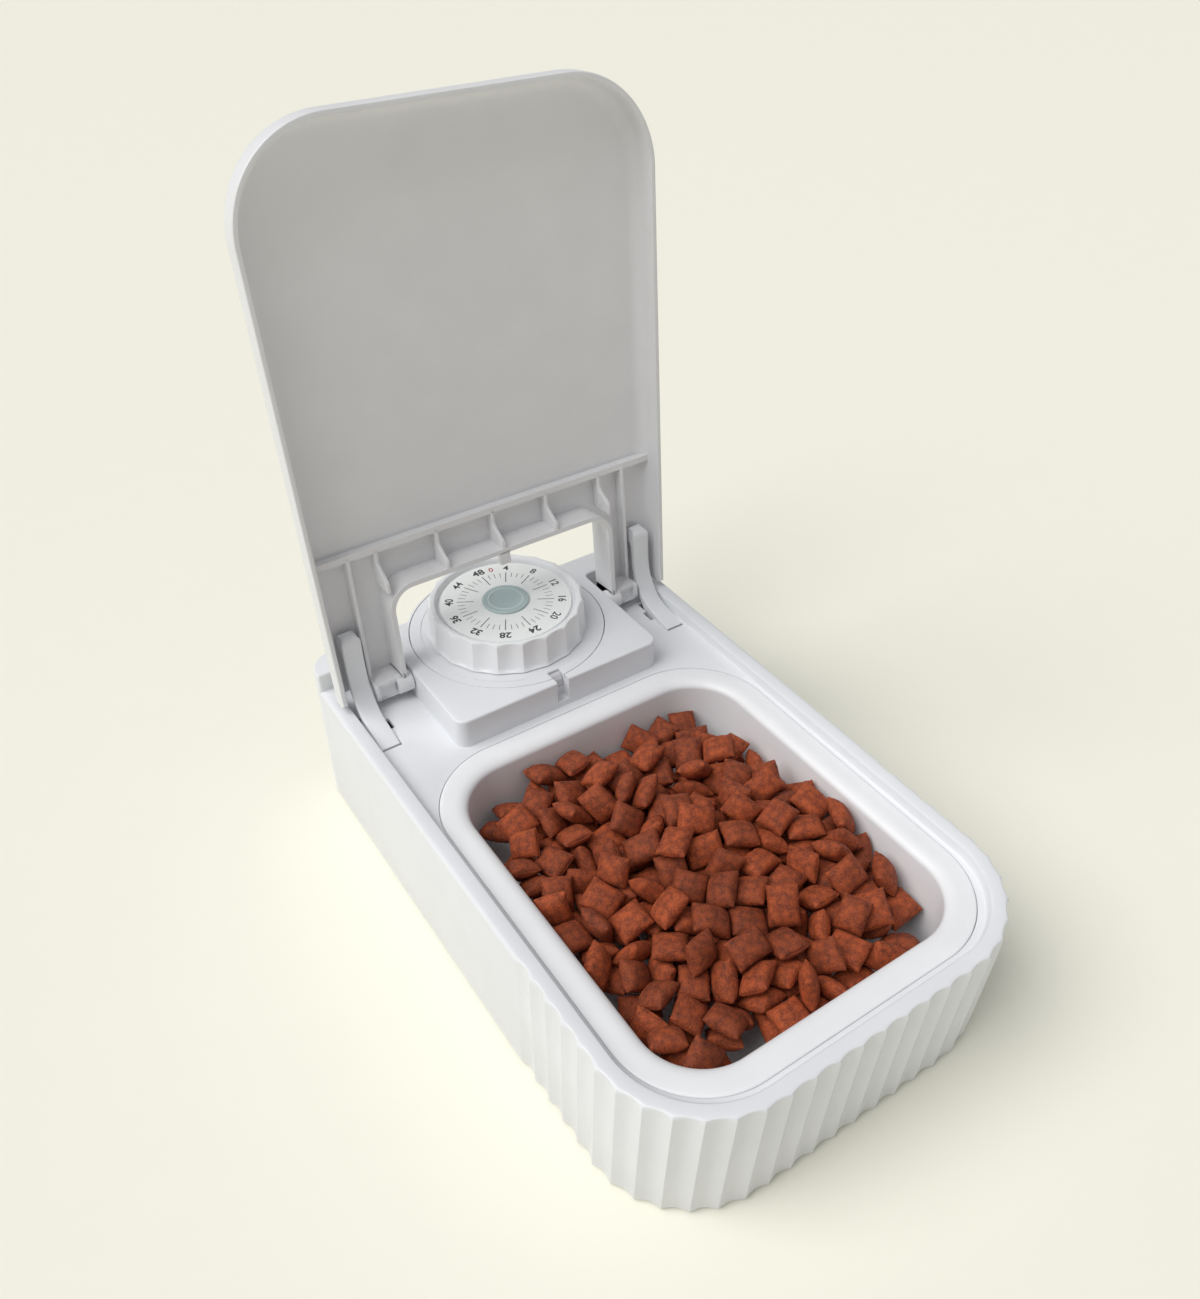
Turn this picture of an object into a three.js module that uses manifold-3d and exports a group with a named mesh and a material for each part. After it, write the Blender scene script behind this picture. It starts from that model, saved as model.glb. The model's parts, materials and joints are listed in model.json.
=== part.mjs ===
// Automatic pet feeder with a sprung lid that a 48 hour dial timer releases.
// Millimetres, +Z up, +Y towards the back. The pieces are drawn in a body frame:
// x = 0 is the centre plane, y = 0 the front edge and z = 0 the flat deck round the bowl.
import * as THREE from 'three';
import { mergeVertices } from 'three/addons/utils/BufferGeometryUtils.js';
import Module from 'manifold-3d';

const wasm = await Module();
wasm.setup();

// ---- driving dimensions -------------------------------------------------------------------

const GAP = 0.3; // running clearance between separate pieces
const SIDES = 20; // facets of the small round pieces

// Body
const BODY_HALF_WIDTH = 90;
const BODY_HEIGHT = 60.4; // from the bottom edge to the deck
const FRONT_RADIUS = 45;
const FRONT_SETBACK = 4.5; // the bottom of the front edge lies this far back
const REAR_Y = 284.4;
const REAR_RADIUS = 12.6;
const RIM_HEIGHT = 5.2;
const RIM_WIDTH = 7.2;
const WALL = 3.6; // includes the flute depth
const DECK_THICKNESS = 4;
const THIN_DECK = 2.5; // deck behind the bowl
const RAISED_TOP = 14.7; // plateau and rear block
const REAR_BLOCK_Y = 270;
const POST_OVERLAP = 0.5; // how far a post or boss runs into the wall that carries it
const FLUTE_END_Y = 96;
const FLUTE_COUNT = 32;
const FLUTE_DEPTH = 1.5;
const FLUTE_STEPS = 3;

// Timer plateau
const PLATEAU_HALF_WIDTH = 52.7;
const PLATEAU_FRONT_Y = 206;
const PLATEAU_RADIUS = 5.4;
const PLATEAU_WALL = 2.5;
const LEDGE_BOTTOM = 9.6;
const LEDGE_TOP = 11.6;
const LEDGE_RADIUS = 42;
const NOTCH_HALF_WIDTH = 3;
const NOTCH_REAR_Y = 214.7;
const NOTCH_BOTTOM = 3;

// Dial, on the timer's axis
const DIAL_Y = 256;
const PLATE_RADIUS = 46;
const PLATE_BOTTOM = 11.9;
const BULGE_RADIUS = 47.7;
const BULGE_WALL = 2.5;
const KNOB_RADIUS = 36.5;
const KNOB_FLUTES = 20;
const KNOB_FLUTE_DEPTH = 1.5;
const KNOB_BOTTOM = 15.1;
const KNOB_TOP = 30.6;
const FACE_RADIUS = 30.8;
const FACE_TOP = 28.8;
const HUB_RADIUS = 11;
const HUB_TOP = 29.9;
const SHAFT_RADIUS = 3;

// Bowl
const BOWL_HALF_WIDTH = 80.3;
const BOWL_FRONT_Y = 11.1;
const BOWL_REAR_Y = 201.3;
const BOWL_RADIUS = 37;
const LIP_WIDTH = 11.3;
const LIP_TOP = 0.5;
const LIP_BOTTOM = -1.9;
const BOWL_WALL = 2.2;
const BOWL_BOTTOM = -43;
const BOWL_FILLET = 9;
const BOWL_DRAFT = 4.5;
const WELL_FLOOR = -46;
const WELL_WALL = 2;
const LIP_SEAT = 4; // the part of the lip's width that rests on the well's edge

// Lid, drawn upright: y is the depth behind its opening and z runs up along it
const LID_LEAN = THREE.MathUtils.degToRad(5.5);
const LID_FOOT_Y = 248;
const LID_HALF_WIDTH_LOW = 87;
const LID_HALF_WIDTH_HIGH = 90;
const LID_LENGTH = 251;
const LID_RADIUS = 40.5;
const LID_DEPTH = 15;
const LID_WALL = 2.4;
const LID_FILLET = 8;
const HINGE_Y = 252.2;
const HINGE_Z = 8.9;
const HINGE_PIN_RADIUS = 2.5;
const HINGE_PIN_INNER_X = 47.8;
const HINGE_PIN_OUTER_X = 61;
const HINGE_BLOCK_INNER_X = 46.5; // block inside the plateau that holds the pin
const HINGE_BLOCK_REACH = 6;
const HINGE_BOSS_RADIUS = 5.3;
const CUTOUT_HALF_WIDTH = 55.6;
const CUTOUT_TOP = 57.1;
const CUTOUT_RADIUS = 10;
const CUTOUT_WALL = 2.3;
const CROSS_RIB_Z = 74.3;
const CROSS_RIB_WIDTH = 2.9;
const CROSS_RIB_FRONT = 8.1;
const CROSS_RIB_HALF_LENGTH = 85;
const RIB_WIDTH = 1.8;
const RIB_PLACES = [-57, -28, 0, 28, 57];
const CHANNEL_RIB_X = 70;
const CHANNEL_RIB_FRONT = 3;
const TAB_HALF_WIDTH = 2.7;
const TAB_DEPTH = 2;
const TAB_TIP = 51.5;
const LEG_SWEEP_RADIUS = 5.6; // the legs are rounded about the hinge by this much
const LEG_BOTTOM = 3.8;
const LEG_LEDGE_Z = 12;
const LEG_POCKET_DEPTH = 3.2;
const WALL_TIP_RADIUS = 3.3; // rounded lower end of the side walls
const WALL_TIP_Z = 12;
const WALL_BOTTOM = 9.2;

// Lift arms
const ARM_INNER_X = 72.3;
const ARM_OUTER_X = 81.2;
const ARM_PIVOT_Y = 239.4;
const ARM_PIVOT_Z = -6;
const ARM_HUB_RADIUS = 5.2;
const ARM_PIN_RADIUS = 1.5;
const ARM_PIN_OUTER_X = 85.5;
const ARM_FOOT = [225.2, -2.2];
const ARM_FRONT = [
  [232, 1.6], [240, 3], [245, 5.2], [249, 9], [252.4, 14.4], [254.2, 21], [255, 30], [255.3, 36.8],
];
const ARM_HEAD = { y: 258.5, z: 36.8, radius: 3.2 }; // front corner of the hooked head
const ARM_HEAD_REAR = [[261.4, 39.8], [262.6, 38.6], [262.8, 36.6], [262.8, 33.8], [261.8, 32.8]];
const ARM_BACK = [
  [258.4, 31.4], [257.5, 20], [255.2, 12.6], [251.2, 6.2], [247.2, 1.2], [244.4, -4], [239.4, -7],
];
const HUB_INNER_X = 70.3;
const HUB_OUTER_X = 82.4;
const SLOT_FRONT_Y = 224;
const SLOT_REAR_Y = 250;
const BOSS_INNER_X = 57.5;
const BOSS_OUTER_X = 63;
const BOSS_HALF_LENGTH = 4.5;
const ARM_SPRING = { radius: 2.4, wire: 0.45, turns: 4 };

// Underside
const COVER_BOTTOM = -60;
const COVER_TOP = -57.6;
const FOOT_BOTTOM = -61.4;
const FOOT_TOP = -59;
const FOOT_RADIUS = 7;
const FOOT_PLACES = [[-66, 40], [66, 40], [-72, 254], [72, 254]];
const SCREW_PLACES = [[-80, 68], [80, 68], [-79, 270], [79, 270]];
const POST_RADIUS = 3.6;
const SCREW_RADIUS = 1.3;
const DOOR_FRONT_Y = 214.3;
const DOOR_REAR_Y = 236;
const DOOR_HALF_WIDTH = 31;
const DOOR_THICKNESS = 1.6;
const BATTERY_Y = 225.2;
const BATTERY_Z = -48.5;
const BATTERY_RADIUS = 7.2;
const BATTERY_HALF_LENGTH = 24.6;
const BAY_WALL = 1.5;
const BAY_HALF_WIDTH = 9.3;
const BAY_INNER_HALF_LENGTH = 29;
const CONTACT_SPRING = { radius: 3.2, wire: 0.4, length: 4, turns: 2.5, x: -28.2 };
const CONTACT_PLATE = { x0: 27.3, x1: 27.8, reachY: 5, reachZ: 6 };

// Timer movement
const GEAR_MODULE = 0.9;
const DIAL_TEETH = 40;
const IDLER_TEETH = 32;
const IDLER_PINION_TEETH = 10;
const MOTOR_TEETH = 8;
const GEAR_PLAY = 0.25;
const IDLER_X = GEAR_MODULE * (DIAL_TEETH + IDLER_PINION_TEETH) / 2 + GEAR_PLAY;
const MOTOR_ANGLE = THREE.MathUtils.degToRad(60);
const MOTOR_REACH = GEAR_MODULE * (IDLER_TEETH + MOTOR_TEETH) / 2 + GEAR_PLAY;
const MOTOR_X = IDLER_X + MOTOR_REACH * Math.cos(MOTOR_ANGLE);
const MOTOR_Y = DIAL_Y + MOTOR_REACH * Math.sin(MOTOR_ANGLE);
const CASE_LOW = { x: -20.7, y: 235.4, z: -13 };
const CASE_HIGH = { x: 40.8, y: 280.7, z: 6.3 };
const CASE_WALL = 1.4;
const CASE_COVER_TOP = 8;
const TIMER_POSTS = [[-28, 243], [-28, 269], [10, 288]];
const CAM_RADIUS = 17.5;
const CAM_BOTTOM = 8.6;
const CAM_TOP = 10.6;
const CAM_FLAT_HALF = 8;
const CAM_FLAT_DEPTH = 1.4;
const SHAFT_BOTTOM = -11;
const SHAFT_COLLAR_Z = 16.4;
const SHAFT_COLLAR_RADIUS = 4.2;
const SHAFT_TOP = 25.3;
const DIAL_GEAR_Z = [3, 5.4];
const IDLER_WHEEL_Z = [-1, 1.4];
const IDLER_PINION_Z = [1, 5.8];
const IDLER_BORE_RADIUS = 1.5;
const ARBOR_RADIUS = 1.2;
const ARBOR_Z = [-11.3, 6.2];
const MOTOR_PINION_Z = [-1.5, 1.9];
const MOTOR_RADIUS = 7;
const MOTOR_Z = [-11.3, -1.8];
const BOARD = { x0: -18.9, x1: -5.6, y0: 238, y1: 278, z0: -11.3, z1: -9.7 };
const TIMER_POST_RADIUS = 3.2;
const TIMER_HOLE_RADIUS = 1.5;

// Release catch
const CATCH_NOSE_Y = 210.6;
const CATCH_REAR_Y = 237.9;
const CATCH_BOTTOM = 8.2;
const CATCH_TOP = 10.8;
const CATCH_NOSE_TOP = 13.6;
const CATCH_SIDE_PLAY = 0.4;
const CATCH_LUG_FRONT_Y = 230.8;
const CATCH_LUG_REAR_Y = 232.4;
const CATCH_LUG_BOTTOM = 3.2;
const GUIDE_REAR_Y = 222;
const GUIDE_HALF_WIDTH = 5.2;
const GUIDE_BOTTOM = 4;
const CATCH_SPRING = { radius: 1.6, wire: 0.3, turns: 4, z: 5.6 };

const TOTAL_LENGTH = DIAL_Y + BULGE_RADIUS;

// ---- solids -------------------------------------------------------------------------------

// A closed solid from a three.js geometry, ready to be joined or cut.
function solid(geometry) {
  const bare = new THREE.BufferGeometry();
  bare.setAttribute('position', geometry.getAttribute('position').clone());
  if (geometry.index) bare.setIndex(geometry.index.clone());
  const merged = mergeVertices(bare, 1e-4);
  const corners = merged.index.array;
  const kept = [];
  for (let i = 0; i < corners.length; i += 3) {
    const [a, b, c] = [corners[i], corners[i + 1], corners[i + 2]];
    if (a !== b && b !== c && c !== a) kept.push(a, b, c);
  }
  return new wasm.Manifold(new wasm.Mesh({
    numProp: 3,
    vertProperties: new Float32Array(merged.getAttribute('position').array),
    triVerts: new Uint32Array(kept),
  }));
}

function joined(solids) {
  return solids.reduce((all, next) => all.add(next));
}

function cut(body, tools) {
  return tools.reduce((left, tool) => left.subtract(tool), body);
}

function block(x0, x1, y0, y1, z0, z1) {
  const geometry = new THREE.BoxGeometry(Math.abs(x1 - x0), y1 - y0, z1 - z0);
  return solid(geometry.translate((x0 + x1) / 2, (y0 + y1) / 2, (z0 + z1) / 2));
}

// An upright prism of an outline in x and y.
function prism(shape, z0, z1, curveSegments = 4) {
  const geometry = new THREE.ExtrudeGeometry(shape, { depth: z1 - z0, bevelEnabled: false, curveSegments });
  return solid(geometry.translate(0, 0, z0));
}

// A prism that lies across the body: the outline is in y and z, its length in x.
function crossPrism(shape, x0, x1, curveSegments = 3) {
  const low = Math.min(x0, x1);
  const depth = Math.abs(x1 - x0);
  const geometry = new THREE.ExtrudeGeometry(shape, { depth, bevelEnabled: false, curveSegments });
  const turn = new THREE.Matrix4().set(0, 0, 1, low, 1, 0, 0, 0, 0, 1, 0, 0, 0, 0, 0, 1);
  return solid(geometry.applyMatrix4(turn));
}

// A prism that faces the front: the outline is in x and z, its length in y.
function facePrism(shape, y0, y1, curveSegments = 4) {
  const depth = y1 - y0;
  const geometry = new THREE.ExtrudeGeometry(shape, { depth, bevelEnabled: false, curveSegments });
  return solid(geometry.translate(0, 0, -y1).rotateX(Math.PI / 2));
}

function drum(radius, z0, z1, x = 0, y = DIAL_Y, sides = SIDES) {
  const geometry = new THREE.CylinderGeometry(radius, radius, z1 - z0, sides);
  return solid(geometry.rotateX(Math.PI / 2).translate(x, y, (z0 + z1) / 2));
}

function axle(radius, x0, x1, y, z, sides = SIDES) {
  const geometry = new THREE.CylinderGeometry(radius, radius, Math.abs(x1 - x0), sides);
  return solid(geometry.rotateZ(Math.PI / 2).translate((x0 + x1) / 2, y, z));
}

// A turned solid about an upright axis; the profile lists [radius, height] pairs.
function turned(profile, x, y, sides = 48) {
  const points = profile.map(([radius, height]) => new THREE.Vector2(radius, height));
  const geometry = new THREE.LatheGeometry(points, sides);
  return solid(geometry.rotateX(Math.PI / 2).translate(x, y, 0));
}

function polygon(points) {
  return new THREE.Shape(points.map(([x, y]) => new THREE.Vector2(x, y)));
}

// A rectangle with one radius at the two front corners and another at the two rear ones.
function roundedOutline(halfWidth, front, rear, frontRadius, rearRadius) {
  const shape = new THREE.Shape();
  const quarter = Math.PI / 2;
  shape.absarc(halfWidth - frontRadius, front + frontRadius, frontRadius, -quarter, 0);
  shape.absarc(halfWidth - rearRadius, rear - rearRadius, rearRadius, 0, quarter);
  shape.absarc(rearRadius - halfWidth, rear - rearRadius, rearRadius, quarter, 2 * quarter);
  shape.absarc(frontRadius - halfWidth, front + frontRadius, frontRadius, 2 * quarter, 3 * quarter);
  return shape;
}

class Helix extends THREE.Curve {
  constructor(radius, length, turns) {
    super();
    this.radius = radius;
    this.length = length;
    this.turns = turns;
  }

  getPoint(t) {
    const angle = 2 * Math.PI * this.turns * t;
    const across = this.radius * Math.cos(angle);
    const up = this.radius * Math.sin(angle);
    return new THREE.Vector3(this.length * t, across, up);
  }
}

// A coil of round wire whose axis starts at the origin and runs along +X.
function coilGeometry(radius, wire, length, turns, stepsPerTurn = 12) {
  const section = new THREE.Shape();
  section.absarc(0, 0, wire, 0, 2 * Math.PI);
  return new THREE.ExtrudeGeometry(section, {
    steps: Math.round(turns * stepsPerTurn),
    curveSegments: 3,
    bevelEnabled: false,
    extrudePath: new Helix(radius, length, turns),
  });
}

// ---- body outline -------------------------------------------------------------------------

// Point and outward direction at a distance along the run from the left side, round the
// front and up the right side, over the fluted stretch.
function frontRun(distance) {
  const straight = FLUTE_END_Y - FRONT_RADIUS;
  const arc = FRONT_RADIUS * Math.PI / 2;
  const flat = 2 * (BODY_HALF_WIDTH - FRONT_RADIUS);
  const cornerX = BODY_HALF_WIDTH - FRONT_RADIUS;
  let left = distance;
  if (left <= straight) return { x: -BODY_HALF_WIDTH, y: FLUTE_END_Y - left, nx: -1, ny: 0 };
  left -= straight;
  if (left <= arc) return cornerPoint(-cornerX, Math.PI + left / FRONT_RADIUS);
  left -= arc;
  if (left <= flat) return { x: left - cornerX, y: 0, nx: 0, ny: -1 };
  left -= flat;
  if (left <= arc) return cornerPoint(cornerX, 1.5 * Math.PI + left / FRONT_RADIUS);
  return { x: BODY_HALF_WIDTH, y: FRONT_RADIUS + left - arc, nx: 1, ny: 0 };
}

function cornerPoint(centreX, angle) {
  const nx = Math.cos(angle);
  const ny = Math.sin(angle);
  return { x: centreX + FRONT_RADIUS * nx, y: FRONT_RADIUS * (1 + ny), nx, ny };
}

function flutedPoints() {
  const straight = 2 * (FLUTE_END_Y - FRONT_RADIUS) + 2 * (BODY_HALF_WIDTH - FRONT_RADIUS);
  const run = straight + Math.PI * FRONT_RADIUS;
  const points = [];
  for (let i = 0; i <= FLUTE_COUNT * FLUTE_STEPS; i += 1) {
    const at = frontRun(run * i / (FLUTE_COUNT * FLUTE_STEPS));
    const depth = FLUTE_DEPTH * Math.sin(Math.PI * (i % FLUTE_STEPS) / FLUTE_STEPS);
    points.push([at.x - at.nx * depth, at.y - at.ny * depth]);
  }
  return points;
}

function arcPoints(x, y, radius, from, to, steps) {
  const points = [];
  for (let i = 0; i <= steps; i += 1) {
    const angle = from + (to - from) * i / steps;
    points.push([x + radius * Math.cos(angle), y + radius * Math.sin(angle)]);
  }
  return points;
}

// The rear corners and the round bulge behind the dial, set in from the outside.
function rearPoints(inset, bulgeRadius) {
  const halfWidth = BODY_HALF_WIDTH - inset;
  const radius = REAR_RADIUS - inset;
  const flatY = REAR_Y - inset;
  const cornerX = halfWidth - radius;
  const bulgeAngle = Math.asin((flatY - DIAL_Y) / bulgeRadius);
  return [
    ...arcPoints(cornerX, flatY - radius, radius, 0, Math.PI / 2, 5),
    ...arcPoints(0, DIAL_Y, bulgeRadius, bulgeAngle, Math.PI - bulgeAngle, 16),
    ...arcPoints(-cornerX, flatY - radius, radius, Math.PI / 2, Math.PI, 5),
  ];
}

function plainOutline(inset, bulgeRadius) {
  const radius = FRONT_RADIUS - inset;
  const cornerX = BODY_HALF_WIDTH - FRONT_RADIUS;
  return polygon([
    ...arcPoints(-cornerX, FRONT_RADIUS, radius, Math.PI, 1.5 * Math.PI, 8),
    ...arcPoints(cornerX, FRONT_RADIUS, radius, 1.5 * Math.PI, 2 * Math.PI, 8),
    ...rearPoints(inset, bulgeRadius),
  ]);
}

// Leans the front of the walls: the lower the point, the further back it sits.
function leanedPrism(shape, z0, z1) {
  const geometry = new THREE.ExtrudeGeometry(shape, { depth: z1 - z0, bevelEnabled: false });
  geometry.translate(0, 0, z0);
  const position = geometry.getAttribute('position');
  for (let i = 0; i < position.count; i += 1) {
    const down = (RIM_HEIGHT - position.getZ(i)) / (RIM_HEIGHT + BODY_HEIGHT);
    const forward = Math.max(0, 1 - position.getY(i) / FLUTE_END_Y);
    position.setY(i, position.getY(i) + FRONT_SETBACK * Math.max(0, down) * forward);
  }
  return solid(geometry);
}

// ---- top housing --------------------------------------------------------------------------

function topHousing() {
  const outline = polygon([...flutedPoints(), ...rearPoints(0, BULGE_RADIUS)]);
  const rearOutline = polygon([[-BODY_HALF_WIDTH, REAR_BLOCK_Y], [BODY_HALF_WIDTH, REAR_BLOCK_Y],
    ...rearPoints(0, BULGE_RADIUS)]);
  const deckPocket = roundedOutline(BODY_HALF_WIDTH - RIM_WIDTH, RIM_WIDTH, REAR_BLOCK_Y,
    FRONT_RADIUS - RIM_WIDTH, 1);
  const plateau = roundedOutline(PLATEAU_HALF_WIDTH, PLATEAU_FRONT_Y, REAR_BLOCK_Y + 2, PLATEAU_RADIUS, 1);
  const shell = cut(leanedPrism(outline, -BODY_HEIGHT, RIM_HEIGHT), [prism(deckPocket, 0, RIM_HEIGHT + 1)])
    .add(prism(plateau, -1, RAISED_TOP))
    .add(prism(rearOutline, RIM_HEIGHT - 1, RAISED_TOP));
  const hollow = cut(shell, [...bodyHollows()]);
  return cut(joined([hollow, ...bodyInsides()]), bodyCuts());
}

// The spaces inside the shell: under the deck, behind the bowl and up into the plateau.
function bodyHollows() {
  const well = bowlOutline(LIP_WIDTH - LIP_SEAT - WELL_WALL);
  const below = leanedPrism(plainOutline(WALL, BULGE_RADIUS - BULGE_WALL), -BODY_HEIGHT - 1, -DECK_THICKNESS);
  const wellOutside = prism(well, WELL_FLOOR - WELL_WALL, 1);
  const behindY = BOWL_REAR_Y + 1.7;
  const reach = BODY_HALF_WIDTH - WALL;
  const flatY = REAR_Y - WALL;
  return [
    below.subtract(wellOutside),
    block(-reach, reach, behindY, flatY, -DECK_THICKNESS - 1, -THIN_DECK),
    block(-reach, reach, REAR_BLOCK_Y + PLATEAU_WALL, flatY, -DECK_THICKNESS - 1, LEDGE_BOTTOM),
    block(-PLATEAU_HALF_WIDTH + PLATEAU_WALL, PLATEAU_HALF_WIDTH - PLATEAU_WALL,
      PLATEAU_FRONT_Y + PLATEAU_WALL, flatY, -DECK_THICKNESS - 1, LEDGE_BOTTOM),
    drum(BULGE_RADIUS - BULGE_WALL, -DECK_THICKNESS - 1, LEDGE_BOTTOM, 0, DIAL_Y, 48),
  ];
}

// Bosses and posts that stand inside the shell.
function bodyInsides() {
  const parts = [];
  const underDeck = -THIN_DECK + POST_OVERLAP;
  for (const [x, y] of SCREW_PLACES) {
    parts.push(drum(POST_RADIUS, COVER_TOP + GAP, underDeck, x, y, 16));
  }
  for (const side of [-1, 1]) {
    const bossBottom = ARM_PIVOT_Z - 5;
    const bossFront = ARM_PIVOT_Y - BOSS_HALF_LENGTH;
    const bossRear = ARM_PIVOT_Y + BOSS_HALF_LENGTH;
    const outerFrom = HUB_OUTER_X + POST_OVERLAP;
    const outerTo = BODY_HALF_WIDTH - WALL + POST_OVERLAP;
    parts.push(block(side * BOSS_INNER_X, side * BOSS_OUTER_X, bossFront, bossRear, bossBottom, underDeck));
    parts.push(block(side * outerFrom, side * outerTo, bossFront, bossRear, bossBottom, underDeck));
    parts.push(block(side * HINGE_BLOCK_INNER_X, side * (PLATEAU_HALF_WIDTH - 1), HINGE_Y - HINGE_BLOCK_REACH,
      HINGE_Y + HINGE_BLOCK_REACH, 2, LEDGE_BOTTOM + 1));
    parts.push(block(side * (NOTCH_HALF_WIDTH + 0.1), side * GUIDE_HALF_WIDTH, PLATEAU_FRONT_Y + 1,
      GUIDE_REAR_Y, GUIDE_BOTTOM, LEDGE_BOTTOM + 0.5));
  }
  parts.push(block(-GUIDE_HALF_WIDTH, GUIDE_HALF_WIDTH, CATCH_NOSE_Y - 0.2, GUIDE_REAR_Y, GUIDE_BOTTOM,
    CATCH_BOTTOM - GAP));
  return parts;
}

function bodyCuts() {
  const tools = [
    prism(bowlOutline(-GAP), LIP_BOTTOM - GAP, 1),
    prism(bowlOutline(LIP_WIDTH - LIP_SEAT), WELL_FLOOR, 1),
    drum(PLATE_RADIUS + 0.4, LEDGE_TOP, RAISED_TOP + 1, 0, DIAL_Y, 64),
    drum(LEDGE_RADIUS, LEDGE_BOTTOM - 1, LEDGE_TOP + 1, 0, DIAL_Y, 48),
    block(-NOTCH_HALF_WIDTH, NOTCH_HALF_WIDTH, PLATEAU_FRONT_Y - 1, NOTCH_REAR_Y,
      CATCH_BOTTOM - GAP, RAISED_TOP + 1),
    block(-NOTCH_HALF_WIDTH, NOTCH_HALF_WIDTH, PLATEAU_FRONT_Y - 1, CATCH_NOSE_Y - 0.2,
      NOTCH_BOTTOM, RAISED_TOP + 1),
  ];
  for (const [x, y] of SCREW_PLACES) {
    tools.push(drum(SCREW_RADIUS + GAP, -BODY_HEIGHT, COVER_TOP + 15, x, y, 16));
  }
  for (const side of [-1, 1]) {
    tools.push(block(side * (ARM_INNER_X - 0.4), side * (ARM_OUTER_X + 0.4),
      SLOT_FRONT_Y, SLOT_REAR_Y, -5, 1));
    tools.push(block(side * (HUB_INNER_X - 0.5), side * (HUB_OUTER_X + GAP), ARM_PIVOT_Y - 5.5,
      ARM_PIVOT_Y + 5.5, -DECK_THICKNESS - 0.5, 1));
    tools.push(axle(ARM_PIN_RADIUS + GAP, side * (BOSS_INNER_X - 1), side * (ARM_PIN_OUTER_X + GAP),
      ARM_PIVOT_Y, ARM_PIVOT_Z, 16));
    tools.push(axle(HINGE_PIN_RADIUS + GAP, side * (HINGE_PIN_INNER_X - GAP),
      side * (PLATEAU_HALF_WIDTH + 1.3), HINGE_Y, HINGE_Z, 20));
  }
  return tools;
}

// ---- bowl ---------------------------------------------------------------------------------

function bowl() {
  const middleY = (BOWL_FRONT_Y + BOWL_REAR_Y) / 2;
  const lip = prism(bowlOutline(0), LIP_BOTTOM, LIP_TOP);
  const outsideInset = LIP_WIDTH - BOWL_WALL;
  const outside = drafted(bowlOutline(outsideInset), BOWL_BOTTOM, LIP_BOTTOM + 0.5, outsideInset, middleY);
  const inside = new THREE.ExtrudeGeometry(bowlOutline(LIP_WIDTH + BOWL_DRAFT / 2), {
    depth: -BOWL_BOTTOM - BOWL_WALL,
    bevelThickness: BOWL_FILLET,
    bevelSize: BOWL_FILLET,
    bevelOffset: -BOWL_FILLET,
    bevelSegments: 3,
    curveSegments: 4,
  });
  inside.translate(0, 0, BOWL_BOTTOM + BOWL_WALL + BOWL_FILLET);
  const mouth = prism(bowlOutline(LIP_WIDTH), -3, LIP_TOP + 1);
  return cut(lip.add(outside), [solid(inside), mouth]);
}

function bowlOutline(inset) {
  return roundedOutline(BOWL_HALF_WIDTH - inset, BOWL_FRONT_Y + inset, BOWL_REAR_Y - inset,
    BOWL_RADIUS - inset, BOWL_RADIUS - inset);
}

// A prism whose lower end is drawn in by the bowl's draft.
function drafted(shape, z0, z1, inset, middleY) {
  const depth = z1 - z0;
  const geometry = new THREE.ExtrudeGeometry(shape, { depth, bevelEnabled: false, curveSegments: 4 });
  geometry.translate(0, 0, z0);
  const halfWidth = BOWL_HALF_WIDTH - inset;
  const halfLength = (BOWL_REAR_Y - BOWL_FRONT_Y) / 2 - inset;
  const position = geometry.getAttribute('position');
  for (let i = 0; i < position.count; i += 1) {
    const drawIn = BOWL_DRAFT * (z1 - position.getZ(i)) / depth;
    const fromMiddle = position.getY(i) - middleY;
    position.setX(i, position.getX(i) * (1 - drawIn / halfWidth));
    position.setY(i, middleY + fromMiddle * (1 - drawIn / halfLength));
  }
  return solid(geometry);
}

// ---- lid ----------------------------------------------------------------------------------

const HINGE_BACK = (HINGE_Y - LID_FOOT_Y) * Math.cos(LID_LEAN) - HINGE_Z * Math.sin(LID_LEAN);
const HINGE_UP = (HINGE_Y - LID_FOOT_Y) * Math.sin(LID_LEAN) + HINGE_Z * Math.cos(LID_LEAN);

function lidOutline(inset, low) {
  const shape = new THREE.Shape();
  const radius = LID_RADIUS - inset;
  const centreX = LID_HALF_WIDTH_HIGH - LID_RADIUS;
  const centreZ = LID_LENGTH - LID_RADIUS;
  const slope = (LID_HALF_WIDTH_HIGH - LID_HALF_WIDTH_LOW) / centreZ;
  const lowX = LID_HALF_WIDTH_LOW - inset + slope * low;
  shape.moveTo(-lowX, low);
  shape.lineTo(lowX, low);
  shape.absarc(centreX, centreZ, radius, 0, Math.PI / 2);
  shape.absarc(-centreX, centreZ, radius, Math.PI / 2, Math.PI);
  return shape;
}

// A dish of the lid's outline with a rounded back edge.
function lidDish(inset, back, fillet) {
  const geometry = new THREE.ExtrudeGeometry(lidOutline(inset, -30), {
    depth: back,
    bevelThickness: fillet,
    bevelSize: fillet,
    bevelOffset: -fillet,
    bevelSegments: 3,
    curveSegments: 5,
  });
  geometry.translate(0, 0, -back + fillet).rotateX(Math.PI / 2);
  return solid(geometry);
}

function cutoutOutline(halfWidth, top, radius, low) {
  const shape = new THREE.Shape();
  shape.moveTo(-halfWidth, low);
  shape.lineTo(halfWidth, low);
  shape.absarc(halfWidth - radius, top - radius, radius, 0, Math.PI / 2);
  shape.absarc(radius - halfWidth, top - radius, radius, Math.PI / 2, Math.PI);
  return shape;
}

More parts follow.
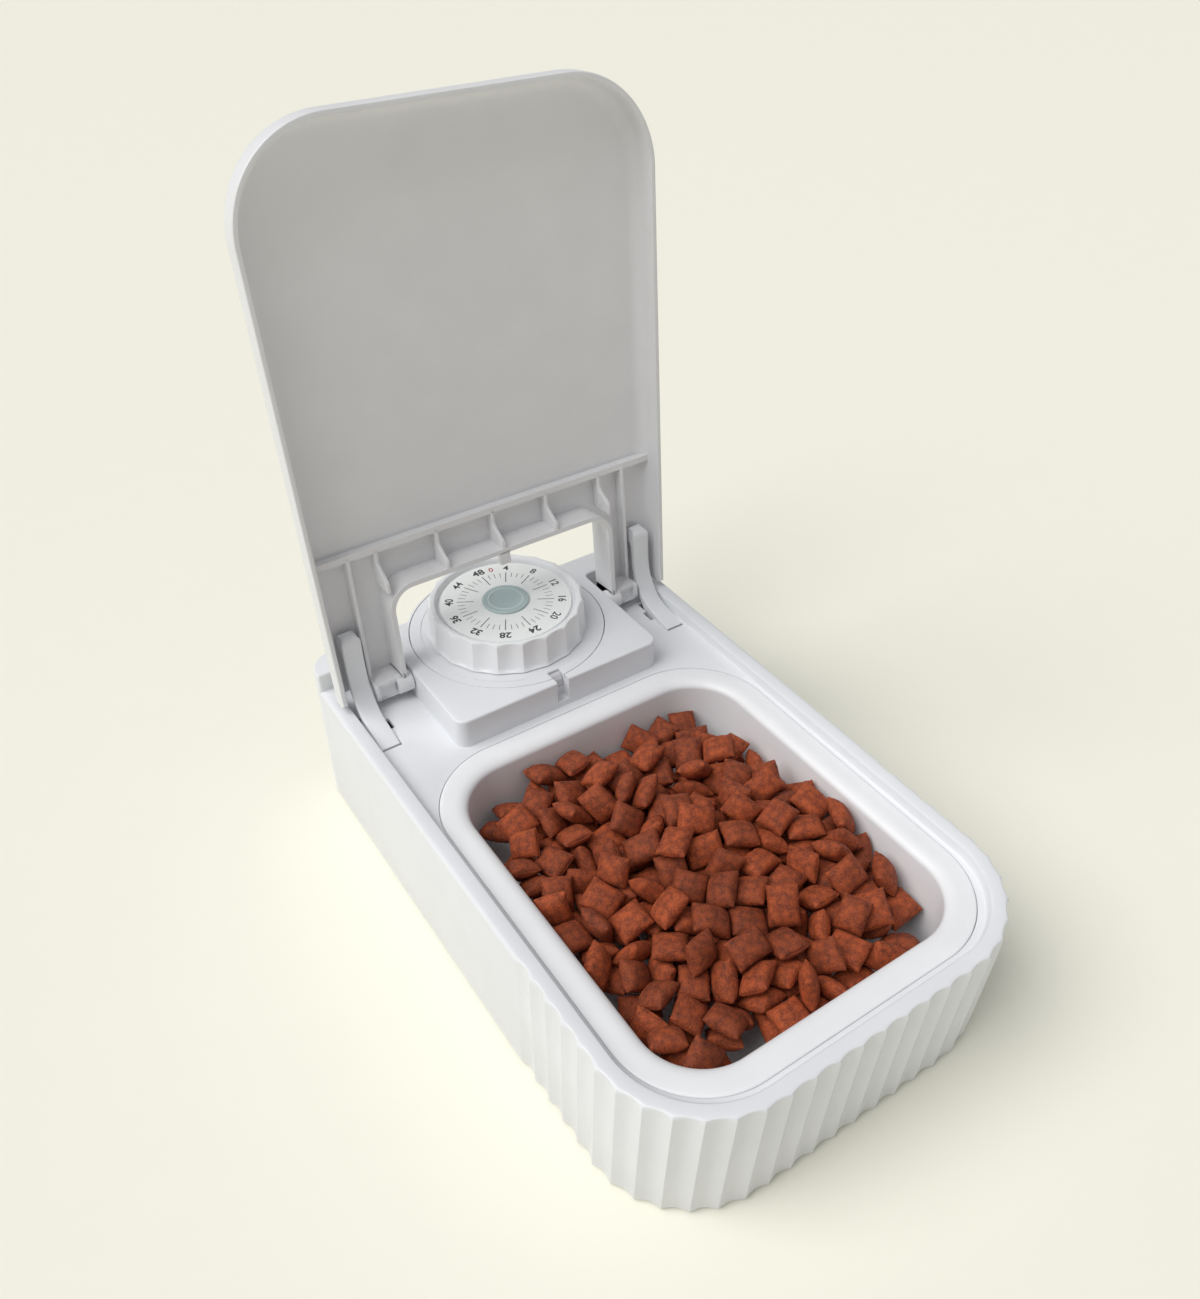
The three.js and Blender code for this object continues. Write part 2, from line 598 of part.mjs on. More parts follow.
// Side view of a rib that is low near the cross rib and sweeps forward to frontDepth below.
function ribOutline(frontDepth, low) {
  const shape = new THREE.Shape();
  const panel = LID_DEPTH - 1;
  shape.moveTo(frontDepth, low);
  shape.lineTo(panel, low);
  shape.lineTo(panel, CROSS_RIB_Z + 1);
  shape.lineTo(CROSS_RIB_FRONT, CROSS_RIB_Z + 1);
  shape.lineTo(CROSS_RIB_FRONT, CROSS_RIB_Z - 6);
  shape.bezierCurveTo(CROSS_RIB_FRONT, CROSS_RIB_Z - 10, frontDepth, CROSS_RIB_Z - 8,
    frontDepth, CROSS_RIB_Z - 12.5);
  return shape;
}

function lidRib(x, frontDepth, low) {
  return crossPrism(ribOutline(frontDepth, low), x - RIB_WIDTH / 2, x + RIB_WIDTH / 2, 5);
}

function lid() {
  const room = block(-100, 100, 0, LID_DEPTH + 1, -10, 300);
  const outside = lidDish(0, LID_DEPTH, LID_FILLET).intersect(room);
  const inside = lidDish(LID_WALL, LID_DEPTH - LID_WALL, LID_FILLET - LID_WALL);
  const opening = cutoutOutline(CUTOUT_HALF_WIDTH, CUTOUT_TOP, CUTOUT_RADIUS, -20);
  const cutout = facePrism(opening, -1, LID_DEPTH + 1);
  const surround = facePrism(cutoutOutline(CUTOUT_HALF_WIDTH + CUTOUT_WALL, CUTOUT_TOP + CUTOUT_WALL,
    CUTOUT_RADIUS + CUTOUT_WALL, -20), 0, LID_DEPTH);
  const ribs = [
    surround,
    block(-CROSS_RIB_HALF_LENGTH, CROSS_RIB_HALF_LENGTH, CROSS_RIB_FRONT, LID_DEPTH - 1,
      CROSS_RIB_Z, CROSS_RIB_Z + CROSS_RIB_WIDTH),
    ...RIB_PLACES.map((x) => lidRib(x, 0, CUTOUT_TOP + 0.5)),
    ...[-CHANNEL_RIB_X, CHANNEL_RIB_X].map((x) => lidRib(x, CHANNEL_RIB_FRONT, -10)),
  ];
  for (const side of [-1, 1]) {
    const wallX = side * (CUTOUT_HALF_WIDTH + 1);
    ribs.push(block(wallX, side * CHANNEL_RIB_X, LEG_POCKET_DEPTH, LID_DEPTH - 1, -10, LEG_LEDGE_Z));
    ribs.push(axle(HINGE_BOSS_RADIUS, wallX, side * (HINGE_PIN_OUTER_X + 0.5), HINGE_BACK, HINGE_UP));
  }
  const dish = joined([outside.subtract(inside), ...ribs]).intersect(outside).subtract(cutout);
  const tab = block(-TAB_HALF_WIDTH, TAB_HALF_WIDTH, 0, TAB_DEPTH, TAB_TIP, CUTOUT_TOP + 0.5);
  return cut(dish.add(tab), [lidFootCut(), ...lidBores()]);
}

function lidBores() {
  const radius = HINGE_PIN_RADIUS + GAP;
  const from = PLATEAU_HALF_WIDTH + 1.3;
  const to = HINGE_PIN_OUTER_X + 1;
  return [-1, 1].map((side) => axle(radius, side * from, side * to, HINGE_BACK, HINGE_UP, 20));
}

// What the lid must leave free below its hinge, so that its foot turns clear of the deck and
// rim: the legs are rounded about the hinge, and the side walls end above the rim.
function lidFootCut() {
  const legX = CHANNEL_RIB_X + RIB_WIDTH / 2;
  const reachX = BODY_HALF_WIDTH + 10;
  const back = LID_DEPTH + 2;
  const legKeep = joined([
    axle(LEG_SWEEP_RADIUS, -legX, legX, HINGE_BACK, HINGE_UP, 32),
    block(-legX, legX, HINGE_BACK, back, LEG_BOTTOM, HINGE_UP + 1),
  ]);
  const wallKeep = joined([
    axle(WALL_TIP_RADIUS, -reachX, reachX, WALL_TIP_RADIUS, WALL_TIP_Z, 32),
    block(-reachX, reachX, WALL_TIP_RADIUS, back, WALL_BOTTOM, WALL_TIP_Z + 1),
  ]);
  const middle = block(-legX, legX, -1, back, -20, HINGE_UP).subtract(legKeep);
  const outside = block(-reachX, reachX, -1, back, -20, WALL_TIP_Z)
    .subtract(block(-legX, legX, -2, back + 1, -21, WALL_TIP_Z + 1))
    .subtract(wallKeep);
  return middle.add(outside);
}

// ---- lift arms ----------------------------------------------------------------------------

// Side view of an arm: a flat foot in the deck, an S bend and an upright finger whose head
// hooks back towards the lid.
function armOutline() {
  const shape = new THREE.Shape();
  const vectors = (points) => points.map(([y, z]) => new THREE.Vector2(y, z));
  shape.moveTo(ARM_FOOT[0], ARM_FOOT[1]);
  shape.lineTo(ARM_FOOT[0], 0.1);
  shape.splineThru(vectors(ARM_FRONT));
  shape.absarc(ARM_HEAD.y, ARM_HEAD.z, ARM_HEAD.radius, Math.PI, Math.PI / 2, true);
  for (const [y, z] of ARM_HEAD_REAR) shape.lineTo(y, z);
  shape.lineTo(ARM_BACK[0][0], ARM_BACK[0][1]);
  shape.splineThru(vectors(ARM_BACK.slice(1)));
  return shape;
}

function liftArm(side) {
  const finger = crossPrism(armOutline(), side * ARM_INNER_X, side * ARM_OUTER_X, 4);
  const hub = axle(ARM_HUB_RADIUS, side * HUB_INNER_X, side * HUB_OUTER_X, ARM_PIVOT_Y, ARM_PIVOT_Z);
  const bore = axle(ARM_PIN_RADIUS + GAP, side * (HUB_INNER_X - 1), side * (HUB_OUTER_X + 1),
    ARM_PIVOT_Y, ARM_PIVOT_Z, 16);
  return finger.add(hub).subtract(bore);
}

function armPin(side) {
  const from = BOSS_INNER_X + 0.2;
  return axle(ARM_PIN_RADIUS, side * from, side * ARM_PIN_OUTER_X, ARM_PIVOT_Y, ARM_PIVOT_Z, 16);
}

function hingePin(side) {
  return axle(HINGE_PIN_RADIUS, side * HINGE_PIN_INNER_X, side * HINGE_PIN_OUTER_X, HINGE_Y, HINGE_Z, 20);
}

// Torsion spring round the pin, between the housing's boss and the arm's hub.
function armSpring(side) {
  const length = HUB_INNER_X - BOSS_OUTER_X - 2.2;
  const geometry = coilGeometry(ARM_SPRING.radius, ARM_SPRING.wire, length, ARM_SPRING.turns, 8);
  const start = side > 0 ? BOSS_OUTER_X + 1.1 : -BOSS_OUTER_X - 1.1 - length;
  return solid(geometry.translate(start, ARM_PIVOT_Y, ARM_PIVOT_Z));
}

// ---- dial and timer -----------------------------------------------------------------------

function timerCoverPlate() {
  const plate = drum(PLATE_RADIUS, PLATE_BOTTOM, RAISED_TOP, 0, DIAL_Y, 64);
  const posts = TIMER_POSTS.map(([x, y]) => drum(TIMER_POST_RADIUS, CASE_COVER_TOP + GAP,
    PLATE_BOTTOM + POST_OVERLAP, x, y, 16));
  return cut(joined([plate, ...posts]), [
    block(-NOTCH_HALF_WIDTH, NOTCH_HALF_WIDTH, PLATEAU_FRONT_Y, NOTCH_REAR_Y, PLATE_BOTTOM - 1,
      RAISED_TOP + 1),
    drum(SHAFT_RADIUS + GAP, PLATE_BOTTOM - 1, RAISED_TOP + 1),
    ...TIMER_POSTS.map(([x, y]) => drum(1.2, CASE_COVER_TOP, PLATE_BOTTOM - 0.2, x, y, 12)),
  ]);
}

// Ribbed grip ring: scallops between sharp ridges, as on the body.
function knobOutline() {
  const steps = 4;
  const points = [];
  for (let i = 0; i < KNOB_FLUTES * steps; i += 1) {
    const angle = 2 * Math.PI * i / (KNOB_FLUTES * steps);
    const radius = KNOB_RADIUS - KNOB_FLUTE_DEPTH * Math.sin(Math.PI * (i % steps) / steps);
    points.push([radius * Math.cos(angle), DIAL_Y + radius * Math.sin(angle)]);
  }
  return polygon(points);
}

function dialKnob() {
  const seat = FACE_TOP - 0.9;
  const grip = prism(knobOutline(), KNOB_BOTTOM, KNOB_TOP);
  const dish = turned([[0, seat], [FACE_RADIUS + GAP, seat], [33, KNOB_TOP + 0.01], [33, KNOB_TOP + 2],
    [0, KNOB_TOP + 2]], 0, DIAL_Y);
  const under = drum(33.2, KNOB_BOTTOM - 1, seat - 2.2, 0, DIAL_Y, 48);
  const hub = drum(7, KNOB_BOTTOM + 1, seat - 1);
  return cut(cut(grip, [under]).add(hub), [
    dish,
    drum(SHAFT_RADIUS + 1.5, KNOB_BOTTOM, seat - 2),
    drum(2.6, seat - 3, seat + 1),
  ]);
}

function dialFace() {
  return cut(drum(FACE_RADIUS, FACE_TOP - 0.6, FACE_TOP, 0, DIAL_Y, 48), [
    drum(3.2, FACE_TOP - 2, FACE_TOP + 1),
  ]);
}

function hubCap() {
  const under = FACE_TOP + GAP;
  const stemRadius = 2.2;
  const stemBottom = under - 2.5;
  return turned([[0, stemBottom], [stemRadius, stemBottom], [stemRadius, under], [HUB_RADIUS, under],
    [HUB_RADIUS, HUB_TOP - 0.4], [HUB_RADIUS - 0.5, HUB_TOP], [0, HUB_TOP]], 0, DIAL_Y, 32);
}

function dialShaft() {
  const profile = [
    [0, SHAFT_BOTTOM], [SHAFT_RADIUS, SHAFT_BOTTOM], [SHAFT_RADIUS, SHAFT_COLLAR_Z],
    [SHAFT_COLLAR_RADIUS, SHAFT_COLLAR_Z], [SHAFT_COLLAR_RADIUS, SHAFT_TOP], [0, SHAFT_TOP],
  ];
  return turned(profile, 0, DIAL_Y, SIDES);
}

// Trip cam: a disc whose flat lets the catch fall back when the dial stands at zero.
function tripCam() {
  const disc = drum(CAM_RADIUS, CAM_BOTTOM, CAM_TOP, 0, DIAL_Y, 40);
  const front = DIAL_Y - CAM_RADIUS;
  return cut(disc, [
    block(-CAM_FLAT_HALF, CAM_FLAT_HALF, front - 1, front + CAM_FLAT_DEPTH, CAM_BOTTOM - 1, CAM_TOP + 1),
    drum(SHAFT_RADIUS + GAP, CAM_BOTTOM - 1, CAM_TOP + 1),
  ]);
}

// Spur gear outline with straight-sided teeth; turn puts a tooth at that angle.
function gearOutline(teeth, x, y, turn) {
  const pitchRadius = GEAR_MODULE * teeth / 2;
  const tip = pitchRadius + 0.8 * GEAR_MODULE;
  const root = pitchRadius - 1.15 * GEAR_MODULE;
  const step = 2 * Math.PI / teeth;
  const points = [];
  for (let i = 0; i < teeth; i += 1) {
    for (const [share, radius] of [[-0.31, root], [-0.12, tip], [0.12, tip], [0.31, root]]) {
      const angle = turn + step * (i + share);
      points.push([x + radius * Math.cos(angle), y + radius * Math.sin(angle)]);
    }
  }
  return polygon(points);
}

function dialGear() {
  const [z0, z1] = DIAL_GEAR_Z;
  const bore = drum(SHAFT_RADIUS + GAP, z0 - 1, z1 + 1);
  return prism(gearOutline(DIAL_TEETH, 0, DIAL_Y, 0), z0, z1).subtract(bore);
}

function idlerGear() {
  const halfTooth = Math.PI / IDLER_PINION_TEETH;
  const wheel = prism(gearOutline(IDLER_TEETH, IDLER_X, DIAL_Y, MOTOR_ANGLE), ...IDLER_WHEEL_Z);
  const pinion = prism(gearOutline(IDLER_PINION_TEETH, IDLER_X, DIAL_Y, halfTooth), ...IDLER_PINION_Z);
  const bore = drum(IDLER_BORE_RADIUS, IDLER_WHEEL_Z[0] - 1, IDLER_PINION_Z[1] + 1, IDLER_X, DIAL_Y, 12);
  return wheel.add(pinion).subtract(bore);
}

function motorPinion() {
  const turn = MOTOR_ANGLE + Math.PI + Math.PI / MOTOR_TEETH;
  return prism(gearOutline(MOTOR_TEETH, MOTOR_X, MOTOR_Y, turn), ...MOTOR_PINION_Z);
}

function timerCase() {
  const { x: x0, y: y0, z: z0 } = CASE_LOW;
  const { x: x1, y: y1, z: z1 } = CASE_HIGH;
  const box = block(x0, x1, y0, y1, z0, z1);
  const inside = block(x0 + CASE_WALL, x1 - CASE_WALL, y0 + CASE_WALL, y1 - CASE_WALL,
    z0 + CASE_WALL, z1 + 1);
  const bearing = drum(5, z0 + 0.5, z0 + 4);
  const ears = TIMER_POSTS.map(([x, y]) => timerEar(x, y, z1 - CASE_WALL, z1));
  return cut(box.subtract(inside).add(bearing), [drum(SHAFT_RADIUS + GAP, z0 + CASE_WALL, z0 + 5)])
    .add(joined(ears).subtract(inside));
}

// A lug that reaches from the case's edge to a screw.
function timerEar(x, y, z0, z1) {
  const nearX = Math.min(Math.max(x, CASE_LOW.x + 1), CASE_HIGH.x - 1);
  const nearY = Math.min(Math.max(y, CASE_LOW.y + 1), CASE_HIGH.y - 1);
  const half = 3;
  const arm = block(Math.min(x, nearX) - half, Math.max(x, nearX) + half,
    Math.min(y, nearY) - half, Math.max(y, nearY) + half, z0, z1);
  return arm.subtract(drum(TIMER_HOLE_RADIUS, z0 - 1, z1 + 1, x, y, 12));
}

function timerCaseCover() {
  const { x: x0, y: y0, z: z1 } = { ...CASE_LOW, z: CASE_HIGH.z };
  const plate = block(x0, CASE_HIGH.x, y0, CASE_HIGH.y, z1 + GAP, CASE_COVER_TOP);
  const ears = TIMER_POSTS.map(([x, y]) => timerEar(x, y, z1 + GAP, CASE_COVER_TOP));
  return cut(joined([plate, ...ears]), [
    drum(SHAFT_RADIUS + GAP, z1, CASE_COVER_TOP + 1),
    ...TIMER_POSTS.map(([x, y]) => drum(TIMER_HOLE_RADIUS, z1, CASE_COVER_TOP + 1, x, y, 12)),
  ]);
}

function screw(x, y, headBottom, headHeight, headRadius, shankRadius, tip) {
  return turned([[0, headBottom], [headRadius, headBottom], [headRadius, headBottom + headHeight],
    [shankRadius, headBottom + headHeight], [shankRadius, tip - 0.8], [0, tip]], x, y, 8);
}

// ---- release catch ------------------------------------------------------------------------

// Side view of the catch: a rounded nose in the plateau's notch, a flat stem that ends at the
// cam, and a lug below it for the spring.
function catchOutline() {
  const shape = new THREE.Shape();
  shape.moveTo(CATCH_NOSE_Y, CATCH_BOTTOM);
  shape.lineTo(CATCH_LUG_FRONT_Y, CATCH_BOTTOM);
  shape.lineTo(CATCH_LUG_FRONT_Y, CATCH_LUG_BOTTOM);
  shape.lineTo(CATCH_LUG_REAR_Y, CATCH_LUG_BOTTOM);
  shape.lineTo(CATCH_LUG_REAR_Y, CATCH_BOTTOM);
  shape.lineTo(CATCH_REAR_Y, CATCH_BOTTOM + 0.3);
  shape.lineTo(CATCH_REAR_Y, CATCH_TOP);
  shape.lineTo(NOTCH_REAR_Y - 0.4, CATCH_TOP);
  shape.lineTo(NOTCH_REAR_Y - 0.4, CATCH_NOSE_TOP);
  shape.bezierCurveTo(NOTCH_REAR_Y - 2, CATCH_NOSE_TOP, CATCH_NOSE_Y, CATCH_NOSE_TOP - 1.2,
    CATCH_NOSE_Y, CATCH_BOTTOM);
  return shape;
}

function releaseCatch() {
  const half = NOTCH_HALF_WIDTH - CATCH_SIDE_PLAY;
  return crossPrism(catchOutline(), -half, half);
}

function catchSpring() {
  const length = CATCH_LUG_FRONT_Y - GUIDE_REAR_Y - 1;
  const geometry = coilGeometry(CATCH_SPRING.radius, CATCH_SPRING.wire, length, CATCH_SPRING.turns, 8);
  return solid(geometry.rotateZ(Math.PI / 2).translate(0, GUIDE_REAR_Y + 0.5, CATCH_SPRING.z));
}

// ---- underside ----------------------------------------------------------------------------

function bottomCover() {
  const play = 0.4;
  const outline = plainOutline(WALL + play, BULGE_RADIUS - BULGE_WALL - play);
  const plate = leanedPrism(outline, COVER_BOTTOM, COVER_TOP);
  const bayTop = BATTERY_Z + BATTERY_RADIUS + BAY_WALL + 0.9;
  const innerHalf = BAY_HALF_WIDTH - BAY_WALL;
  const outerLength = BAY_INNER_HALF_LENGTH + BAY_WALL;
  const bay = block(-outerLength, outerLength, BATTERY_Y - BAY_HALF_WIDTH, BATTERY_Y + BAY_HALF_WIDTH,
    COVER_BOTTOM, bayTop);
  const bayInside = block(-BAY_INNER_HALF_LENGTH, BAY_INNER_HALF_LENGTH, BATTERY_Y - innerHalf,
    BATTERY_Y + innerHalf, COVER_BOTTOM - 1, bayTop - BAY_WALL);
  const doorRebate = block(-DOOR_HALF_WIDTH - GAP, DOOR_HALF_WIDTH + GAP, DOOR_FRONT_Y - GAP,
    DOOR_REAR_Y + GAP, COVER_BOTTOM - 1, COVER_BOTTOM + DOOR_THICKNESS + GAP);
  const tools = [doorRebate, bayInside];
  for (const [x, y] of FOOT_PLACES) {
    tools.push(drum(FOOT_RADIUS + GAP, COVER_BOTTOM - 1, FOOT_TOP + GAP, x, y, SIDES));
  }
  for (const [x, y] of SCREW_PLACES) {
    tools.push(drum(SCREW_RADIUS + GAP, COVER_BOTTOM - 1, COVER_TOP + 1, x, y, 16));
    tools.push(drum(3, COVER_BOTTOM - 1, COVER_BOTTOM + 1.4, x, y, 16));
  }
  return cut(plate.add(bay), tools);
}

// The door's front edge is rounded about its hinge line.
function batteryDoor() {
  const half = DOOR_THICKNESS / 2;
  const shape = new THREE.Shape();
  shape.moveTo(DOOR_REAR_Y, COVER_BOTTOM);
  shape.lineTo(DOOR_REAR_Y, COVER_BOTTOM + DOOR_THICKNESS);
  shape.absarc(DOOR_FRONT_Y + half, COVER_BOTTOM + half, half, Math.PI / 2, 1.5 * Math.PI);
  return crossPrism(shape, -DOOR_HALF_WIDTH, DOOR_HALF_WIDTH);
}

function battery() {
  const profile = [[0, -BATTERY_HALF_LENGTH], [BATTERY_RADIUS - 0.5, -BATTERY_HALF_LENGTH],
    [BATTERY_RADIUS, -BATTERY_HALF_LENGTH + 0.5], [BATTERY_RADIUS, BATTERY_HALF_LENGTH - 1.2],
    [2.7, BATTERY_HALF_LENGTH - 1], [2.7, BATTERY_HALF_LENGTH], [0, BATTERY_HALF_LENGTH]];
  const geometry = new THREE.LatheGeometry(profile.map(([r, h]) => new THREE.Vector2(r, h)), SIDES);
  return solid(geometry.rotateZ(-Math.PI / 2).translate(1, BATTERY_Y, BATTERY_Z));
}

function batteryContactSpring() {
  const { radius, wire, length, turns, x } = CONTACT_SPRING;
  return solid(coilGeometry(radius, wire, length, turns, 8).translate(x, BATTERY_Y, BATTERY_Z));
}

function batteryContactPlate() {
  const { x0, x1, reachY, reachZ } = CONTACT_PLATE;
  return block(x0, x1, BATTERY_Y - reachY, BATTERY_Y + reachY, BATTERY_Z - reachZ, BATTERY_Z + reachZ);
}

function foot(x, y) {
  return turned([[0, FOOT_BOTTOM], [FOOT_RADIUS - 0.6, FOOT_BOTTOM], [FOOT_RADIUS, FOOT_BOTTOM + 0.6],
    [FOOT_RADIUS, FOOT_TOP], [0, FOOT_TOP]], x, y, 16);
}

// ---- assembly -----------------------------------------------------------------------------

function finish(color, roughness, metalness = 0) {
  return { color, roughness, metalness };
}

const WHITE = finish(0xe8eaee, 0.45);
const WHITE_FACE = finish(0xf2f3f4, 0.5);
const GREY_CAP = finish(0xa9b4b1, 0.4);
const GREY_CATCH = finish(0xb4b2b4, 0.5);
const CASE_GREY = finish(0xd8dadc, 0.5);
const NYLON = finish(0xe6e2d4, 0.5);
const RUBBER = finish(0x4a4c50, 0.9);
const STEEL = finish(0xb8bcc2, 0.3, 1);
const BOARD_GREEN = finish(0x2e6b47, 0.5);
const BATTERY_WRAP = finish(0x3a3f46, 0.35);

function piece(name, body, look) {
  const mesh = body.getMesh();
  const geometry = new THREE.BufferGeometry();
  geometry.setAttribute('position', new THREE.BufferAttribute(mesh.vertProperties, 3));
  geometry.setIndex(new THREE.BufferAttribute(mesh.triVerts, 1));
  geometry.computeVertexNormals();
  const part = new THREE.Mesh(geometry, new THREE.MeshStandardMaterial(look));
  part.name = name;
  return part;
}

const feeder = new THREE.Group();
feeder.position.set(0, -TOTAL_LENGTH / 2, -FOOT_BOTTOM);

const lidFrame = new THREE.Group();
lidFrame.position.set(0, LID_FOOT_Y, 0);
lidFrame.rotation.x = -LID_LEAN;
lidFrame.add(piece('lid', lid(), WHITE));

feeder.add(
  piece('top_housing', topHousing(), WHITE),
  piece('bottom_cover', bottomCover(), WHITE),
  piece('battery_door', batteryDoor(), WHITE),
  piece('battery', battery(), BATTERY_WRAP),
  piece('battery_contact_spring', batteryContactSpring(), STEEL),
  piece('battery_contact_plate', batteryContactPlate(), STEEL),
  piece('bowl', bowl(), WHITE),
  lidFrame,
  piece('timer_cover_plate', timerCoverPlate(), WHITE),
  piece('dial_knob', dialKnob(), WHITE),
  piece('dial_face', dialFace(), WHITE_FACE),
  piece('hub_cap', hubCap(), GREY_CAP),
  piece('dial_shaft', dialShaft(), NYLON),
  piece('trip_cam', tripCam(), NYLON),
  piece('dial_gear', dialGear(), NYLON),
  piece('idler_gear', idlerGear(), NYLON),
  piece('idler_arbor', drum(ARBOR_RADIUS, ...ARBOR_Z, IDLER_X, DIAL_Y, 12), STEEL),
  piece('motor_pinion', motorPinion(), NYLON),
  piece('motor_body', drum(MOTOR_RADIUS, ...MOTOR_Z, MOTOR_X, MOTOR_Y), STEEL),
  piece('circuit_board', block(BOARD.x0, BOARD.x1, BOARD.y0, BOARD.y1, BOARD.z0, BOARD.z1), BOARD_GREEN),
  piece('timer_case', timerCase(), CASE_GREY),
  piece('timer_case_cover', timerCaseCover(), CASE_GREY),
  piece('release_catch', releaseCatch(), GREY_CATCH),
  piece('catch_spring', catchSpring(), STEEL),
);

for (const [side, word] of [[-1, 'left'], [1, 'right']]) {
  feeder.add(
    piece(`lift_arm_${word}`, liftArm(side), WHITE),
    piece(`arm_pin_${word}`, armPin(side), STEEL),
    piece(`arm_spring_${word}`, armSpring(side), STEEL),
    piece(`hinge_pin_${word}`, hingePin(side), STEEL),
  );
}

FOOT_PLACES.forEach(([x, y], i) => feeder.add(piece(`foot_${i + 1}`, foot(x, y), RUBBER)));
SCREW_PLACES.forEach(([x, y], i) => {
  feeder.add(piece(`cover_screw_${i + 1}`, screw(x, y, COVER_BOTTOM, 1.1, 2.6, SCREW_RADIUS, -46), STEEL));
});
TIMER_POSTS.forEach(([x, y], i) => {
  feeder.add(piece(`timer_screw_${i + 1}`, screw(x, y, 3, 1.6, 2.2, 0.9, 11), STEEL));
});

export default feeder;
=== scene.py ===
"""Automatic pet feeder with its lid open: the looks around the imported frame.

Lengths inside this script are millimetres in the feeder's own drawing frame: x = 0 is the
centre plane, y = 0 the front edge and z = 0 the deck round the bowl. at() turns them into metres.
"""
import json
import math
import random

import bmesh
import bpy
from mathutils import Matrix, Vector
from mathutils.geometry import tessellate_polygon


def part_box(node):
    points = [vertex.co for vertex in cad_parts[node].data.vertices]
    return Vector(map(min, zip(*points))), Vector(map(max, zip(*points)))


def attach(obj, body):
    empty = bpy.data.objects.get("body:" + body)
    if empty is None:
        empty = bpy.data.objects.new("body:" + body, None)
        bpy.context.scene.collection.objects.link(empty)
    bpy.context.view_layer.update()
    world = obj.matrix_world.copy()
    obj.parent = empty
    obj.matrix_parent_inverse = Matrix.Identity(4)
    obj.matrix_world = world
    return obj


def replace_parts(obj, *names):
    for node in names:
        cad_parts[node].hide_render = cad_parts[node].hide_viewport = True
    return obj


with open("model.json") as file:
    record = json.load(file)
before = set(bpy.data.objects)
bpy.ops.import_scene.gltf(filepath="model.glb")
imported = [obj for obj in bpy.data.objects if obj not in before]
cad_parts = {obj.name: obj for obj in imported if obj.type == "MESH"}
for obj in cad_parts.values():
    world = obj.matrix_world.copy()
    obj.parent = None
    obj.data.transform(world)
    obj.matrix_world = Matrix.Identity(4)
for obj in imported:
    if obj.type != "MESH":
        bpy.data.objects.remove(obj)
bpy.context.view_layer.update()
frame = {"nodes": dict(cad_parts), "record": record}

# ---- driving dimensions, the same names as the solid model ---------------------------------

MM = 0.001
BODY_HALF_WIDTH, BODY_HEIGHT, FRONT_RADIUS, FRONT_SETBACK = 90.0, 60.4, 45.0, 4.5
REAR_Y, REAR_RADIUS, REAR_BLOCK_Y = 284.4, 12.6, 270.0
RIM_HEIGHT, RAISED_TOP = 5.2, 14.7
FLUTE_END_Y, FLUTE_COUNT, FLUTE_DEPTH, FLUTE_STEPS = 96.0, 32, 1.5, 8
SHELL_INSET = 0.03  # keeps the shell's side just behind the raised block's
PLATEAU_HALF_WIDTH, PLATEAU_FRONT_Y, PLATEAU_RADIUS = 52.7, 206.0, 5.4
NOTCH_HALF_WIDTH, NOTCH_REAR_Y = 3.0, 214.7
DIAL_Y, PLATE_RADIUS, BULGE_RADIUS = 256.0, 46.0, 47.7
KNOB_FLUTES, KNOB_FLUTE_DEPTH, KNOB_BOTTOM, KNOB_TOP = 20, 1.5, 15.1, 30.6
FACE_RADIUS, FACE_TOP, HUB_RADIUS, HUB_TOP = 30.8, 28.8, 11.0, 29.9
BOWL_HALF_WIDTH, BOWL_FRONT_Y, BOWL_REAR_Y, BOWL_RADIUS = 80.3, 11.1, 201.3, 37.0
LIP_WIDTH, LIP_TOP, LIP_BOTTOM, BOWL_BOTTOM, BOWL_DRAFT = 11.3, 0.5, -1.9, -43.0, 4.5
WELL_FLOOR = -46.0
LID_LEAN, LID_FOOT_Y = math.radians(5.5), 248.0
LID_HALF_WIDTH_LOW, LID_HALF_WIDTH_HIGH, LID_LENGTH = 87.0, 89.98, 250.98
LID_RADIUS, LID_DEPTH, LID_WALL, LID_FILLET = 40.5, 15.0, 2.4, 8.0
HINGE_Y, HINGE_Z = 252.2, 8.9
CUTOUT_HALF_WIDTH, CUTOUT_TOP, CUTOUT_RADIUS, CUTOUT_WALL = 55.6, 57.1, 10.0, 2.3
CROSS_RIB_Z, CROSS_RIB_WIDTH, CROSS_RIB_FRONT, RIB_WIDTH = 74.3, 2.9, 8.1, 1.8
RIB_PLACES, CROSS_RIB_HALF_LENGTH, CHANNEL_RIB_FRONT = (-57.0, -28.0, 0.0, 28.0, 57.0), 85.5, 7.4
CHANNEL_RIB_X, TAB_HALF_WIDTH, TAB_DEPTH, TAB_TIP = 70.0, 2.7, 2.0, 51.5
LEG_BOTTOM, LEG_CORNER = 3.9, 5.0
WALL_TIP_RADIUS, WALL_TIP_Z, WALL_BOTTOM = 3.3, 12.0, 9.2
ARM_INNER_X, ARM_OUTER_X, ARM_PIVOT_Y, ARM_PIVOT_Z, ARM_HUB_RADIUS = 72.3, 81.2, 239.4, -6.0, 5.2
ARM_TOP, ARM_CORNER = 39.8, 3.0
SLOT_FRONT_Y, SLOT_REAR_Y, SLOT_PLAY = 224.0, 250.0, 0.35
SLOT_LUG_FRONT_Y, SLOT_LUG_REAR_Y, SLOT_LUG_INNER, SLOT_LUG_OUTER = 235.8, 243.0, 2.1, 1.5
DIAL_HOURS, HOURS_A_NUMBER = 48, 4
DIAL_TURN = 30.0  # degrees the printed dial is turned from its zero at the back
BOX_PLAY = 0.005  # how far the raised block stays inside the solid model's box

HOUSING_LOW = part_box("top_housing")[0]
ORIGIN = Vector((0, HOUSING_LOW[1], HOUSING_LOW[2] + BODY_HEIGHT * MM))
LID_TURN = Matrix.Rotation(-LID_LEAN, 4, "X")


def at(x, y, z):
    return ORIGIN + Vector((x, y, z)) * MM


